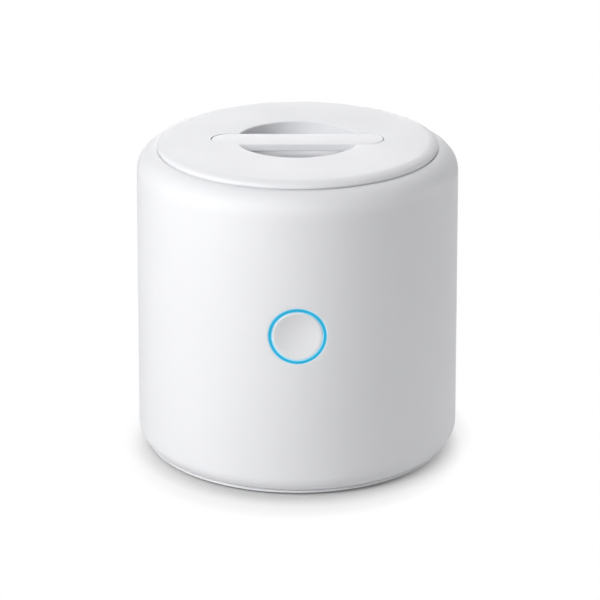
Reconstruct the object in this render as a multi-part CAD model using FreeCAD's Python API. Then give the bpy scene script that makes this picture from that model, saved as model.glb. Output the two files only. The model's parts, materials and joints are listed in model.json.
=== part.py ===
import FreeCAD, Part
import math
import os

from FreeCAD import Vector

# Sterilizer for small baby items, in millimetres. A squat round body holds a steel chamber lit from
# below, a lid with a finger well and a grip bar lifts off, and one lit push button faces -Y.
# The origin is on the table under the middle of the body, and +Z is up.

# Outer body
foot_stand = 0.8
base_rim_height = 1.1
base_shadow_gap = 0.3
shoulder_radius = 59.34
draft_slope = 0.011
shell_wall = 2.4
mouth_wall = 2.55
foot_round = 7.0
foot_round_rise = 5.35
shoulder_round = 8.43
shoulder_width = 7.24
lip_round = 0.45

# Base cover, feet and base screws
base_thickness = 2.4
base_rim_inset = 0.34
base_mouth_gap = 0.5
base_screw_inset = 4.4
base_screw_angle = 12.0
base_boss_radius = 4.2
base_boss_height = 12.0
base_pad_radius = 3.8
base_pad_height = 1.8
base_counterbore = 2.2
base_head_radius = 2.75
base_head_height = 1.6
base_shank_radius = 1.4
base_screw_grip = 9.0
rubber_foot_radius = 5.0
rubber_foot_depth = 1.2
rubber_foot_inset = 11.4

# Fits shared by the screws and the pieces that lie in pockets
head_clearance = 0.25
thread_clearance = 0.05
pocket_clearance = 0.1
pilot_spare = 0.6

# Battery cells, cradle and clamp
cell_radius = 9.2
cell_length = 65.0
cell_gap = 0.6
cell_clearance = 0.15
cradle_floor = 1.0
cradle_wall = 1.5
cradle_end = 2.5
cradle_rim_drop = 2.0
clamp_thickness = 1.6
clamp_leg = 2.0
clamp_leg_gap = 0.3
clamp_foot = 6.6
clamp_half_width = 10.0
clamp_pad_height = 3.0
clamp_pad_radius = 3.2

# Small screws on the boards, clamps and lid
small_head_radius = 2.2
small_head_height = 1.4
small_shank_radius = 1.1
small_screw_grip = 4.0

# Main board and charging socket
board_post_height = 7.8
board_post_radius = 3.0
board_thickness = 1.6
board_half_width = 26.0
board_front_gap = 0.9
board_rear_gap = 2.5
post_front_x = 22.0
post_rear_x = 19.0
post_front_inset = 4.0
post_rear_inset = 8.0
usb_width = 8.94
usb_height = 3.26
usb_length = 7.4
usb_metal = 0.32
usb_cavity_depth = 6.2
usb_tongue_width = 6.7
usb_tongue_thickness = 0.7
usb_tongue_length = 4.7
usb_mouth_gap = 0.1
port_width = 12.6
port_height = 7.0

# Parts soldered on the main board. A place is across the board and back from its front edge.
controller_place = (-9.0, 18.0)
controller_side = 9.0
controller_height = 1.2
charger_place = (5.6, 17.0)
charger_side = 5.0
charger_height = 1.0
inductor_place = (-9.0, 4.8)
inductor_side = 6.0
inductor_height = 3.0
capacitor_place = (8.0, 4.6)
capacitor_radius = 2.5
capacitor_height = 5.0
lamp_plug_place = (0.0, 9.5)
battery_plug_place = (15.5, 8.0)
button_plug_place = (-15.5, 9.5)
sensor_plug_place = (12.5, 18.5)
plug_width = 5.0
plug_depth = 4.0
plug_height = 2.2
board_edge_margin = 1.0
button_plug_x = -7.0
button_plug_height = 3.0

# Lamp under the chamber
bay_headroom = 0.8
fin_height = 3.5
fin_thickness = 1.2
fin_pitch = 4.0
fin_count = 6
fin_half_length = 18.5
heat_sink_radius = 25.5
heat_sink_base = 2.2
uv_board_radius = 18.5
uv_board_thickness = 1.6
uv_led_side = 3.5
uv_led_height = 1.3
uv_led_circle = 7.0
uv_led_count = 4
lamp_gap = 2.9
lamp_bore = 13.5
lamp_housing_radius = 26.0
window_radius = 18.5
window_thickness = 2.0
window_clearance = 0.25
window_seal_thickness = 0.8
window_seal_width = 2.3
stud_circle = 22.5
stud_radius = 1.5
stud_clearance = 0.2
stud_tail = 0.4
nut_across_flats = 5.5
nut_height = 2.4

# Chamber liner and its clamp ring
liner_wall = 0.8
liner_depth = 71.1
liner_corner = 4.0
liner_flange_width = 3.0
liner_window_radius = 16.0
ledge_width = 6.9
ledge_thickness = 2.4
ring_gap = 0.4
ring_thickness = 2.2
ring_upstand_inset = 0.2
ring_boss_radius = 3.2
ring_boss_height = 3.0
ring_margin = 3.0
ring_screw_count = 6
ring_screw_grip = 6.0
sensor_width = 8.0
sensor_depth = 5.0
sensor_height = 1.6
sensor_angle = 76.0

# Lid
lid_recess_depth = 1.9
lid_gap = 0.4
lid_height = 4.7
lid_plate = 2.4
lid_edge_crown = 26.4
lid_edge_round = 1.0
lid_edge_width = 7.9
spigot_clearance = 0.6
spigot_wall = 2.0
seal_inset = 1.8
seal_width = 2.8
seal_thickness = 1.2
well_depth = 12.0
well_wall = 2.0
well_floor = 2.0
well_corner = 3.0
well_lip = 0.5
inner_cover_gap = 0.5
inner_cover_thickness = 2.0
inner_cover_round = 0.8
inner_screw_inset = 8.6
inner_screw_boss = 3.0
inner_counterbore = 1.2
bar_length = 63.4
bar_land = 9.28
bar_width = 13.0
bar_thickness = 2.8
bar_edge = 0.5
bar_gap = 0.2
bar_pad = 2.0
bar_pad_margin = 1.5
bar_screw_bite = 1.8
magnet_radius = 3.0
magnet_thickness = 2.0
magnet_boss_wall = 0.9
magnet_boss_bite = 0.5
key_width = 5.0
key_depth = 1.0
key_height = 1.8
key_clearance = 0.4

# Push button, light ring and switch
button_height = 62.7
ring_outer_radius = 10.47
ring_inner_radius = 9.2
ring_fit = 0.1
light_flange_radius = 12.6
light_flange_thickness = 1.2
light_skirt_wall = 1.4
light_led_gap = 0.3
seat_margin = 0.6
seat_pad_radius = 14.0
cap_gap = 0.25
cap_collar_radius = 10.7
cap_collar_thickness = 1.2
cap_rest_gap = 0.1
cap_stem_radius = 2.5
cap_stem_length = 0.9
dish_radius = 8.4
dish_depth = 1.0
switch_side = 6.0
switch_height = 3.2
plunger_radius = 1.6
plunger_fit = 0.08
plunger_out = 0.85
plunger_in = 1.2
plunger_well = 2.2
plunger_gap = 0.05
button_board_thickness = 1.2
button_board_half_width = 20.0
button_board_above = 10.0
button_board_below = 18.0
button_screw_x = 16.5
button_boss_radius = 2.8
ring_led_count = 6
ring_led_side = 1.2
ring_led_height = 0.8

# Rack
rack_clearance = 2.0
rack_thickness = 1.2
rack_leg_height = 4.0
rack_leg_radius = 2.5
rack_leg_inset = 7.2
rack_leg_count = 4
rack_slot_count = 12
rack_slot_width = 5.0
rack_slot_inner = 14.0
rack_slot_margin = 5.2
rack_finger_radius = 5.5
rack_edge = 0.4

# Inner leads, whose routes are chosen by hand
lead_radius = 1.0
lead_lift = 0.1
lead_bend_share = 0.45
lead_slot_width = 3.0
lamp_lead_start = 11.5
battery_lead_rise = 5.0
battery_lead_out = 7.0
battery_lead_turn = (8.5, 12.0)
battery_lead_approach = 15.0
button_lead_out = 13.0
button_lead_wall_gap = 6.2
button_lead_angles = (150.0, 174.0, 201.0, 225.0, 246.0)
button_lead_levels = (23.0, 28.0, 29.5, 30.0, 31.0)
button_lead_drop = 11.0
sensor_lead_rise = 8.0

# First of the pieces set evenly round the axis: four in a square, six in a ring
square_first_angle = 45.0
six_first_angle = 30.0

# Levels, from the table up
base_rim_top = foot_stand + base_rim_height
shell_bottom = base_rim_top + base_shadow_gap
base_floor = foot_stand + base_thickness
base_pad_top = base_floor + base_pad_height
cell_axis = base_floor + cradle_floor + cell_clearance + cell_radius
cell_top = cell_axis + cell_radius
clamp_bottom = cell_top + cell_clearance
clamp_top = clamp_bottom + clamp_thickness
clamp_pad_top = base_floor + clamp_pad_height
board_bottom = base_floor + board_post_height
board_top = board_bottom + board_thickness
port_axis = board_top + usb_height / 2
fin_bottom = clamp_top + bay_headroom
heat_sink_bottom = fin_bottom + fin_height
heat_sink_top = heat_sink_bottom + heat_sink_base
uv_board_top = heat_sink_top + uv_board_thickness
window_bottom = uv_board_top + lamp_gap
window_top = window_bottom + window_thickness
liner_floor_bottom = window_top + window_seal_thickness
chamber_floor = liner_floor_bottom + liner_wall
ledge_bottom = chamber_floor + liner_depth
ledge_top = ledge_bottom + ledge_thickness
lip_top = ledge_top + lid_recess_depth
flange_bottom = ledge_bottom - liner_wall
ring_seat = ledge_bottom - ring_boss_height
ring_bottom = ring_seat - ring_thickness
lid_top = ledge_top + lid_height
plate_bottom = lid_top - lid_plate
bar_bottom = lid_top - bar_thickness
well_bottom = lid_top - well_depth
inner_cover_top = well_bottom - well_floor - inner_cover_gap
inner_cover_bottom = inner_cover_top - inner_cover_thickness
rack_bottom = chamber_floor + rack_leg_height
rack_top = rack_bottom + rack_thickness

# Outer skin: a drafted wall between two rounds
draft_angle = math.atan(draft_slope)
shoulder_centre_radius = shoulder_radius - shoulder_round * math.cos(draft_angle)
lid_recess_radius = shoulder_radius - shoulder_width
lip_offset = lid_recess_radius - shoulder_centre_radius
shoulder_centre_height = lip_top - math.sqrt(shoulder_round ** 2 - lip_offset ** 2)
shoulder_height = shoulder_centre_height + shoulder_round * math.sin(draft_angle)
foot_centre_height = shell_bottom + foot_round_rise
foot_tangent_height = foot_centre_height + foot_round * math.sin(draft_angle)


def wall_radius(height):
    return shoulder_radius + draft_slope * (shoulder_height - height)


foot_centre_radius = wall_radius(foot_tangent_height) - foot_round * math.cos(draft_angle)
foot_edge_radius = foot_centre_radius + math.sqrt(foot_round ** 2 - foot_round_rise ** 2)
mouth_radius = foot_edge_radius - mouth_wall

# Radii that follow from the skin
ledge_opening = lid_recess_radius - ledge_width
liner_outer = ledge_opening + liner_wall
flange_radius = liner_outer + liner_flange_width
ring_screw_circle = flange_radius + ring_gap + ring_boss_radius
ring_radius = ring_screw_circle + ring_margin
sensor_circle = (liner_outer + ring_radius) / 2
lid_radius = lid_recess_radius - lid_gap
spigot_radius = ledge_opening - spigot_clearance
inner_screw_circle = spigot_radius - inner_screw_inset
well_radius = bar_length / 2 - bar_land
rack_radius = ledge_opening - rack_clearance
rack_leg_circle = rack_radius - rack_leg_inset
rack_slot_outer = rack_radius - rack_slot_margin
seal_inner = ledge_opening + seal_inset
magnet_pocket = magnet_radius + pocket_clearance
magnet_boss = magnet_pocket + magnet_boss_wall
magnet_circle = spigot_radius - spigot_wall + magnet_boss_bite - magnet_boss
base_screw_circle = mouth_radius - base_screw_inset
base_step_radius = mouth_radius - base_mouth_gap
base_rim_radius = foot_edge_radius - base_rim_inset
rubber_foot_circle = mouth_radius - rubber_foot_inset
button_lead_circle = shoulder_radius - shell_wall - button_lead_wall_gap

# Places in the battery bay
cell_offset = cell_radius + cell_gap / 2
cradle_half_width = cell_offset + cell_radius + cell_clearance + cradle_wall
cradle_half_length = cell_length / 2 + cell_clearance + cradle_end
clamp_leg_inner = cradle_half_width + clamp_leg_gap
clamp_leg_outer = clamp_leg_inner + clamp_leg
clamp_screw_y = clamp_leg_outer + clamp_foot / 2
board_front = clamp_leg_outer + board_front_gap
board_rear_radius = wall_radius(board_top) - shell_wall - board_rear_gap
usb_mouth = wall_radius(port_axis) - shell_wall - usb_mouth_gap

# Distances of the button's layers from the body's axis, from the wall inwards
button_wall = wall_radius(button_height)
seat_reach = light_flange_radius + seat_margin
seat_distance = math.sqrt((button_wall - shell_wall) ** 2 - seat_reach ** 2)
light_flange_back = seat_distance - light_flange_thickness
collar_front = light_flange_back - cap_rest_gap
collar_back = collar_front - cap_collar_thickness
stem_tip = collar_back - cap_stem_length
plunger_tip = stem_tip - plunger_gap
switch_front = plunger_tip - plunger_out
button_board_front = switch_front - switch_height
button_board_back = button_board_front - button_board_thickness
light_skirt_tip = button_board_front + ring_led_height + light_led_gap
light_skirt_middle = light_flange_radius - light_skirt_wall / 2
cap_radius = ring_inner_radius - cap_gap

Z_AXIS = Vector(0, 0, 1)
INWARD = Vector(0, 1, 0)


def save(node, *solids):
    shape = solids[0] if len(solids) == 1 else Part.makeCompound(list(solids))
    shape.exportStep(f"parts/{node}.step")


def spin(start, *steps):
    """Turns an outline about Z. A step is (r, z) for a line, or (mid r, mid z, r, z) for an arc."""
    edges = []
    here = Vector(start[0], 0, start[1])
    for step in steps + (start,):
        there = Vector(step[-2], 0, step[-1])
        if len(step) == 4:
            edges.append(Part.Arc(here, Vector(step[0], 0, step[1]), there).toShape())
        elif there.distanceToPoint(here) > 1e-7:
            edges.append(Part.LineSegment(here, there).toShape())
        here = there
    return Part.Face(Part.Wire(edges)).revolve(Vector(0, 0, 0), Z_AXIS, 360)


def on_arc(centre_radius, centre_height, radius, angle):
    return (centre_radius + radius * math.cos(angle), centre_height + radius * math.sin(angle))


def arc_step(centre_radius, centre_height, radius, first, last):
    middle = on_arc(centre_radius, centre_height, radius, (first + last) / 2)
    return middle + on_arc(centre_radius, centre_height, radius, last)


def upright(radius, bottom, top, x=0.0, y=0.0):
    return Part.makeCylinder(radius, top - bottom, Vector(x, y, bottom), Z_AXIS)


def tube(outer, inner, bottom, top):
    return upright(outer, bottom, top).cut(upright(inner, bottom, top))


def inward(radius, far, near, x=0.0):
    """A cylinder along the button's line, from one distance in front of the axis to a nearer one."""
    return Part.makeCylinder(radius, far - near, Vector(x, -far, button_height), INWARD)


def block(x_low, x_high, y_low, y_high, z_low, z_high):
    return Part.makeBox(x_high - x_low, y_high - y_low, z_high - z_low, Vector(x_low, y_low, z_low))


def turned(shape, angle):
    copy = shape.copy()
    copy.rotate(Vector(0, 0, 0), Z_AXIS, angle)
    return copy


def polar(circle, angle):
    turn = math.radians(angle)
    return (circle * math.cos(turn), circle * math.sin(turn))


def around(count, first=0.0):
    return [first + 360.0 * step / count for step in range(count)]


def pill(length, width, bottom, top):
    reach = (length - width) / 2
    half = width / 2
    corners = [Vector(-reach, -half, bottom), Vector(reach, -half, bottom)]
    corners += [Vector(reach, half, bottom), Vector(-reach, half, bottom)]
    edges = [
        Part.LineSegment(corners[0], corners[1]).toShape(),
        Part.Arc(corners[1], Vector(reach + half, 0, bottom), corners[2]).toShape(),
        Part.LineSegment(corners[2], corners[3]).toShape(),
        Part.Arc(corners[3], Vector(-reach - half, 0, bottom), corners[0]).toShape(),
    ]
    return Part.Face(Part.Wire(edges)).extrude(Vector(0, 0, top - bottom))


def flat_rims(shape):
    return [edge for edge in shape.Edges if edge.BoundBox.ZLength < 1e-6]


def screw(x, y, seat, grip, up=True, head_radius=small_head_radius, head_height=small_head_height,
          shank_radius=small_shank_radius):
    """A screw whose head lies against the level seat and whose shank goes up or down from it."""
    if up:
        head = upright(head_radius, seat - head_height, seat, x, y)
        shank = upright(shank_radius, seat, seat + grip, x, y)
    else:
        head = upright(head_radius, seat, seat + head_height, x, y)
        shank = upright(shank_radius, seat - grip, seat, x, y)
    return head.fuse(shank).removeSplitter()


def body_envelope(inset):
    """The body as a full solid, drawn in from the outer skin by the inset."""
    foot_radius = foot_round - inset
    shoulder = shoulder_round - inset
    foot_start = -math.asin(min(foot_round_rise / foot_radius, 1.0))
    shoulder_end = math.acos(max(min(lip_offset / shoulder, 1.0), -1.0))
    foot_low = on_arc(foot_centre_radius, foot_centre_height, foot_radius, foot_start)
    lip = on_arc(shoulder_centre_radius, shoulder_centre_height, shoulder, shoulder_end)
    return spin(
        (0, foot_low[1]),
        foot_low,
        arc_step(foot_centre_radius, foot_centre_height, foot_radius, foot_start, draft_angle),
        on_arc(shoulder_centre_radius, shoulder_centre_height, shoulder, draft_angle),
        arc_step(shoulder_centre_radius, shoulder_centre_height, shoulder, draft_angle, shoulder_end),
        (0, lip[1]),
    )


def shell_skin():
    """The wall turned in one outline: skin, lip, ledge and inner face."""
    inner_foot = foot_round - shell_wall
    inner_shoulder = shoulder_round - shell_wall
    foot_start = -math.asin(foot_round_rise / foot_round)
    lip_end = math.acos((lip_offset + lip_round) / shoulder_round)
    lip = on_arc(shoulder_centre_radius, shoulder_centre_height, shoulder_round, lip_end)
    lip_low = lip[1] - lip_round
    lip_bend = lip_round * (1 - math.sqrt(0.5))
    under_ledge = math.asin((ledge_bottom - shoulder_centre_height) / inner_shoulder)
    at_mouth = -math.acos((mouth_radius - foot_centre_radius) / inner_foot)
    return spin(
        (mouth_radius, shell_bottom),
        (foot_edge_radius, shell_bottom),
        arc_step(foot_centre_radius, foot_centre_height, foot_round, foot_start, draft_angle),
        on_arc(shoulder_centre_radius, shoulder_centre_height, shoulder_round, draft_angle),
        arc_step(shoulder_centre_radius, shoulder_centre_height, shoulder_round, draft_angle, lip_end),
        (lid_recess_radius + lip_bend, lip[1] - lip_bend, lid_recess_radius, lip_low),
        (lid_recess_radius, ledge_top),
        (ledge_opening, ledge_top),
        (ledge_opening, ledge_bottom),
        on_arc(shoulder_centre_radius, shoulder_centre_height, inner_shoulder, under_ledge),
        arc_step(shoulder_centre_radius, shoulder_centre_height, inner_shoulder, under_ledge, draft_angle),
        on_arc(foot_centre_radius, foot_centre_height, inner_foot, draft_angle),
        arc_step(foot_centre_radius, foot_centre_height, inner_foot, draft_angle, at_mouth),
    )


def base_screw_places():
    angles = [base_screw_angle, 180 - base_screw_angle, 180 + base_screw_angle, 360 - base_screw_angle]
    return [(angle, polar(base_screw_circle, angle)) for angle in angles]


def ring_screw_places():
    return [polar(ring_screw_circle, angle) for angle in around(ring_screw_count, six_first_angle)]


def shell_bosses():
    """Bosses for the base, the clamp ring and the button, before they are trimmed to the wall."""
    bosses = []
    for angle, (x, y) in base_screw_places():
        boss_top = base_pad_top + base_boss_height
        rib = block(base_screw_circle, shoulder_radius, -base_boss_radius, base_boss_radius,
                    base_pad_top, boss_top)
        bosses.append(upright(base_boss_radius, base_pad_top, boss_top, x, y).fuse(turned(rib, angle)))
    for x, y in ring_screw_places():
        bosses.append(upright(ring_boss_radius, ring_seat, ledge_top - ledge_thickness / 2, x, y))
    bosses.append(inward(seat_pad_radius, button_wall, seat_distance))
    for side in (-1, 1):
        bosses.append(inward(button_boss_radius, button_wall, button_board_front, side * button_screw_x))
    return bosses


def shell_cuts():
    """Screw holes, the button's bore, the charging port and the notch for the lid's key."""
    cuts = [inward(ring_outer_radius + ring_fit, button_wall + shell_wall, button_board_front)]
    pilot = small_shank_radius + thread_clearance
    for side in (-1, 1):
        depth = button_board_front + small_screw_grip - button_board_thickness + pilot_spare
        cuts.append(inward(pilot, depth, button_board_front, side * button_screw_x))
    for _, (x, y) in base_screw_places():
        tip = foot_stand + base_counterbore + base_screw_grip + pilot_spare
        cuts.append(upright(base_shank_radius + thread_clearance, base_pad_top, tip, x, y))
    for x, y in ring_screw_places():
        cuts.append(upright(pilot, ring_seat, ring_bottom + ring_screw_grip + thread_clearance, x, y))
    port = pill(port_width, port_height, 0, wall_radius(port_axis) + shell_wall - base_screw_circle)
    port.rotate(Vector(0, 0, 0), Vector(1, 0, 0), -90)
    port.translate(Vector(0, base_screw_circle, port_axis))
    cuts.append(port)
    notch = key_width / 2 + key_clearance
    cuts.append(block(-notch, notch, spigot_radius - key_depth, ledge_opening + key_depth + key_clearance,
                      ledge_bottom, ledge_top))
    return cuts


def body_shell():
    inside = body_envelope(shell_wall / 2)
    bosses = [boss.common(inside) for boss in shell_bosses()]
    return shell_skin().fuse(bosses).cut(shell_cuts()).removeSplitter()


def rubber_foot_places():
    return [polar(rubber_foot_circle, angle) for angle in around(4, square_first_angle)]


def board_post_places():
    rear = math.sqrt((board_rear_radius - post_rear_inset) ** 2 - post_rear_x ** 2)
    front = board_front + post_front_inset
    return [(-post_front_x, front), (post_front_x, front), (-post_rear_x, rear), (post_rear_x, rear)]


def base_cover():
    plate = spin((0, foot_stand), (base_rim_radius, foot_stand), (base_rim_radius, base_rim_top),
                 (base_step_radius, base_rim_top), (base_step_radius, base_floor), (0, base_floor))
    raised = [upright(base_pad_radius, foot_stand, base_pad_top, x, y) for _, (x, y) in base_screw_places()]
    raised += [upright(board_post_radius, foot_stand, board_bottom, x, y) for x, y in board_post_places()]
    raised += [upright(clamp_pad_radius, foot_stand, clamp_pad_top, 0, side * clamp_screw_y)
               for side in (-1, 1)]
    cuts = []
    pilot = small_shank_radius + thread_clearance
    head_pocket = base_head_radius + head_clearance
    for _, (x, y) in base_screw_places():
        cuts.append(upright(head_pocket, foot_stand, foot_stand + base_counterbore, x, y))
        cuts.append(upright(base_shank_radius + head_clearance, foot_stand, base_pad_top, x, y))
    for x, y in rubber_foot_places():
        cuts.append(upright(rubber_foot_radius + pocket_clearance, foot_stand,
                            foot_stand + rubber_foot_depth, x, y))
    for x, y in board_post_places():
        tip = board_top - small_screw_grip - pilot_spare
        cuts.append(upright(pilot, tip, board_bottom, x, y))
    for side in (-1, 1):
        tip = clamp_pad_top + clamp_thickness - small_screw_grip - pilot_spare
        cuts.append(upright(pilot, tip, clamp_pad_top, 0, side * clamp_screw_y))
    return plate.fuse(raised).cut(cuts).removeSplitter()


def rubber_feet():
    top = foot_stand + rubber_foot_depth
    return [upright(rubber_foot_radius, 0, top, x, y) for x, y in rubber_foot_places()]


def base_screws():
    seat = foot_stand + base_counterbore
    return [screw(x, y, seat, base_screw_grip, True, base_head_radius, base_head_height, base_shank_radius)
            for _, (x, y) in base_screw_places()]


def stud_places():
    return [polar(stud_circle, angle) for angle in around(4, square_first_angle)]


def chamber_liner():
    """A drawn steel cup: rounded floor corner, rim flange and weld studs under the floor."""
    outer_corner = liner_corner + liner_wall
    corner_height = chamber_floor + liner_corner
    corner_radius = ledge_opening - liner_corner
    cup = spin(
        (liner_window_radius, liner_floor_bottom),
        (corner_radius, liner_floor_bottom),
        arc_step(corner_radius, corner_height, outer_corner, -math.pi / 2, 0),
        (liner_outer, flange_bottom),
        (flange_radius, flange_bottom),
        (flange_radius, ledge_bottom),
        (ledge_opening, ledge_bottom),
        (ledge_opening, corner_height),
        arc_step(corner_radius, corner_height, liner_corner, 0, -math.pi / 2),
        (liner_window_radius, chamber_floor),
    )
    stud_bottom = heat_sink_bottom - nut_height - stud_tail
    stud_root = chamber_floor - liner_wall / 2
    studs = [upright(stud_radius, stud_bottom, stud_root, x, y) for x, y in stud_places()]
    return cup.fuse(studs).removeSplitter()


def liner_clamp_ring():
    inner = liner_outer + ring_gap
    upstand = flange_radius - ring_upstand_inset
    ring = spin((inner, ring_bottom), (ring_radius, ring_bottom), (ring_radius, ring_seat),
                (upstand, ring_seat), (upstand, flange_bottom), (inner, flange_bottom))
    holes = [upright(small_shank_radius + head_clearance, ring_bottom, ring_seat, x, y)
             for x, y in ring_screw_places()]
    return ring.cut(holes)


def clamp_ring_screws():
    return [screw(x, y, ring_bottom, ring_screw_grip) for x, y in ring_screw_places()]


def lid_sensor():
    middle = sensor_circle
    body = block(middle - sensor_depth / 2, middle + sensor_depth / 2, -sensor_width / 2, sensor_width / 2,
                 ring_bottom - sensor_height, ring_bottom)
    return turned(body, sensor_angle)


def lamp_housing():
    pocket = window_radius + window_clearance
    board_pocket = uv_board_radius + window_clearance
    ring = spin((board_pocket, heat_sink_top), (lamp_housing_radius, heat_sink_top),
                (lamp_housing_radius, liner_floor_bottom), (pocket, liner_floor_bottom),
                (pocket, window_bottom), (lamp_bore, window_bottom), (lamp_bore, uv_board_top),
                (board_pocket, uv_board_top))
    cuts = [upright(stud_radius + stud_clearance, heat_sink_top, liner_floor_bottom, x, y)
            for x, y in stud_places()]
    slot = lead_slot_width / 2
    slot_top = uv_board_top + lead_slot_width
    cuts.append(block(-slot, slot, 0, lamp_housing_radius, heat_sink_top, slot_top))
    return ring.cut(cuts).removeSplitter()


def window_seal():
    return tube(window_radius, window_radius - window_seal_width, window_top, liner_floor_bottom)


def quartz_window():
    return upright(window_radius, window_bottom, window_top)


def uv_board():
    return upright(uv_board_radius, heat_sink_top, uv_board_top)


def uv_leds():
    half = uv_led_side / 2
    led = block(uv_led_circle - half, uv_led_circle + half, -half, half, uv_board_top,
                uv_board_top + uv_led_height)
    return [turned(led, angle) for angle in around(uv_led_count)]


def heat_sink():
    disc = upright(heat_sink_radius, heat_sink_bottom, heat_sink_top)
    fins = []
    for step in range(fin_count):
        middle = (step - (fin_count - 1) / 2) * fin_pitch
        fins.append(block(-fin_half_length, fin_half_length, middle - fin_thickness / 2,
                          middle + fin_thickness / 2, fin_bottom, heat_sink_top - heat_sink_base / 2))
    holes = [upright(stud_radius + stud_clearance, heat_sink_bottom, heat_sink_top, x, y)
             for x, y in stud_places()]
    return disc.fuse(fins).cut(holes).removeSplitter()


def heat_sink_nuts():
    nuts = []
    corner = nut_across_flats / 2 / math.cos(math.pi / 6)
    bottom = heat_sink_bottom - nut_height
    for x, y in stud_places():
        points = [Vector(x + dx, y + dy, bottom) for dx, dy in (polar(corner, turn) for turn in around(6))]
        hexagon = Part.Face(Part.makePolygon(points + points[:1]))
        nut = hexagon.extrude(Vector(0, 0, nut_height))
        nuts.append(nut.cut(upright(stud_radius + thread_clearance, bottom, heat_sink_bottom, x, y)))
    return nuts


def lying_cell(radius, half_length, side):
    start = Vector(-half_length, side * cell_offset, cell_axis)
    return Part.makeCylinder(radius, 2 * half_length, start, Vector(1, 0, 0))


def battery_cradle():
    tray = block(-cradle_half_length, cradle_half_length, -cradle_half_width, cradle_half_width,
                 base_floor, cell_axis - cradle_rim_drop)
    troughs = [lying_cell(cell_radius + cell_clearance, cell_length / 2 + cell_clearance, side)
               for side in (-1, 1)]
    return tray.cut(troughs)


def battery_cells():
    return [lying_cell(cell_radius, cell_length / 2, side) for side in (-1, 1)]


def battery_clamp():
    """A hat-shaped strap over the two cells, with a screw foot in front and behind."""
    reach = clamp_leg_outer + clamp_foot
    half = clamp_half_width
    strap = block(-half, half, -clamp_leg_outer, clamp_leg_outer, clamp_bottom, clamp_top)
    pieces = []
    holes = []
    foot_top = clamp_pad_top + clamp_thickness
    for side in (0, 180):
        leg = block(-half, half, clamp_leg_inner, clamp_leg_outer, clamp_pad_top, clamp_top)
        foot = block(-half, half, clamp_leg_inner, reach, clamp_pad_top, foot_top)
        pieces += [turned(leg, side), turned(foot, side)]
        hole = upright(small_shank_radius + head_clearance, clamp_pad_top, foot_top, 0, clamp_screw_y)
        holes.append(turned(hole, side))
    return strap.fuse(pieces).cut(holes).removeSplitter()


def battery_clamp_screws():
    seat = clamp_pad_top + clamp_thickness
    return [screw(0, side * clamp_screw_y, seat, small_screw_grip, False) for side in (-1, 1)]


def main_board():
    half = board_half_width
    plate = block(-half, half, board_front, board_rear_radius, board_bottom, board_top)
    plate = plate.common(upright(board_rear_radius, board_bottom, board_top))
    holes = [upright(small_shank_radius + head_clearance, board_bottom, board_top, x, y)
             for x, y in board_post_places()]
    return plate.cut(holes)


def main_board_screws():
    return [screw(x, y, board_top, small_screw_grip, False) for x, y in board_post_places()]


def on_board(place, width, depth, height):
    x = place[0]
    y = board_front + place[1]
    return block(x - width / 2, x + width / 2, y - depth / 2, y + depth / 2, board_top, board_top + height)


def board_chips():
    controller = on_board(controller_place, controller_side, controller_side, controller_height)
    charger = on_board(charger_place, charger_side, charger_side, charger_height)
    inductor = on_board(inductor_place, inductor_side, inductor_side, inductor_height)
    capacitor = upright(capacitor_radius, board_top, board_top + capacitor_height, capacitor_place[0],
                        board_front + capacitor_place[1])
    return [controller, charger, inductor, capacitor]


def button_plug_bottom():
    return button_height - button_board_below + board_edge_margin


def lead_headers():
    """Plugs for the lamp, battery, button and sensor leads, and the one on the button's board."""
    places = (lamp_plug_place, battery_plug_place, button_plug_place, sensor_plug_place)
    plugs = [on_board(place, plug_width, plug_depth, plug_height) for place in places]
    low = button_plug_bottom()
    plugs.append(block(button_plug_x - plug_width / 2, button_plug_x + plug_width / 2,
                       -button_board_front - button_plug_height, -button_board_front, low, low + plug_depth))
    return plugs


def usb_socket():
    """Metal charging socket whose mouth faces the port in the rear wall."""
    back = usb_mouth - usb_length
    half = usb_width / 2
    body = block(-half, half, back, usb_mouth, board_top, board_top + usb_height)
    cavity = block(-half + usb_metal, half - usb_metal, usb_mouth - usb_cavity_depth, usb_mouth,
                   board_top + usb_metal, board_top + usb_height - usb_metal)
    root = usb_mouth - usb_cavity_depth
    tongue = block(-usb_tongue_width / 2, usb_tongue_width / 2, root, root + usb_tongue_length,
                   port_axis - usb_tongue_thickness / 2, port_axis + usb_tongue_thickness / 2)
    return body.cut(cavity.cut(tongue))


def light_ring():
    """Clear guide: a ring flush with the wall, a flange on the seat and a skirt back to the lights."""
    front = inward(ring_outer_radius, button_wall + shell_wall, light_flange_back).common(body_envelope(0.0))
    flange = inward(light_flange_radius, seat_distance, light_flange_back)
    skirt = inward(light_flange_radius, light_flange_back, light_skirt_tip)
    skirt = skirt.cut(inward(light_flange_radius - light_skirt_wall, light_flange_back, light_skirt_tip))
    bore = inward(ring_inner_radius, button_wall + shell_wall, light_flange_back)
    return front.fuse([flange, skirt]).cut(bore).removeSplitter()


def button_dish():
    """A barrel that hollows the cap evenly all round while the cap follows the round wall."""
    depth_curve = 2 * dish_depth / dish_radius ** 2
    profile_radius = 1 / depth_curve
    barrel_radius = 1 / (depth_curve - 1 / button_wall)
    half = dish_radius + cap_gap
    waist = barrel_radius - (profile_radius - math.sqrt(profile_radius ** 2 - half ** 2))
    barrel = spin((0, -half), (waist, -half), (barrel_radius, 0, waist, half), (0, half))
    barrel.translate(Vector(0, -(button_wall - dish_depth) - barrel_radius, button_height))
    return barrel


def button_cap():
    crown = inward(cap_radius, button_wall + shell_wall, collar_front).common(body_envelope(0.0))
    crown = crown.cut(button_dish())
    collar = inward(cap_collar_radius, collar_front, collar_back)
    stem = inward(cap_stem_radius, collar_back, stem_tip)
    return crown.fuse([collar, stem]).removeSplitter()


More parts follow.
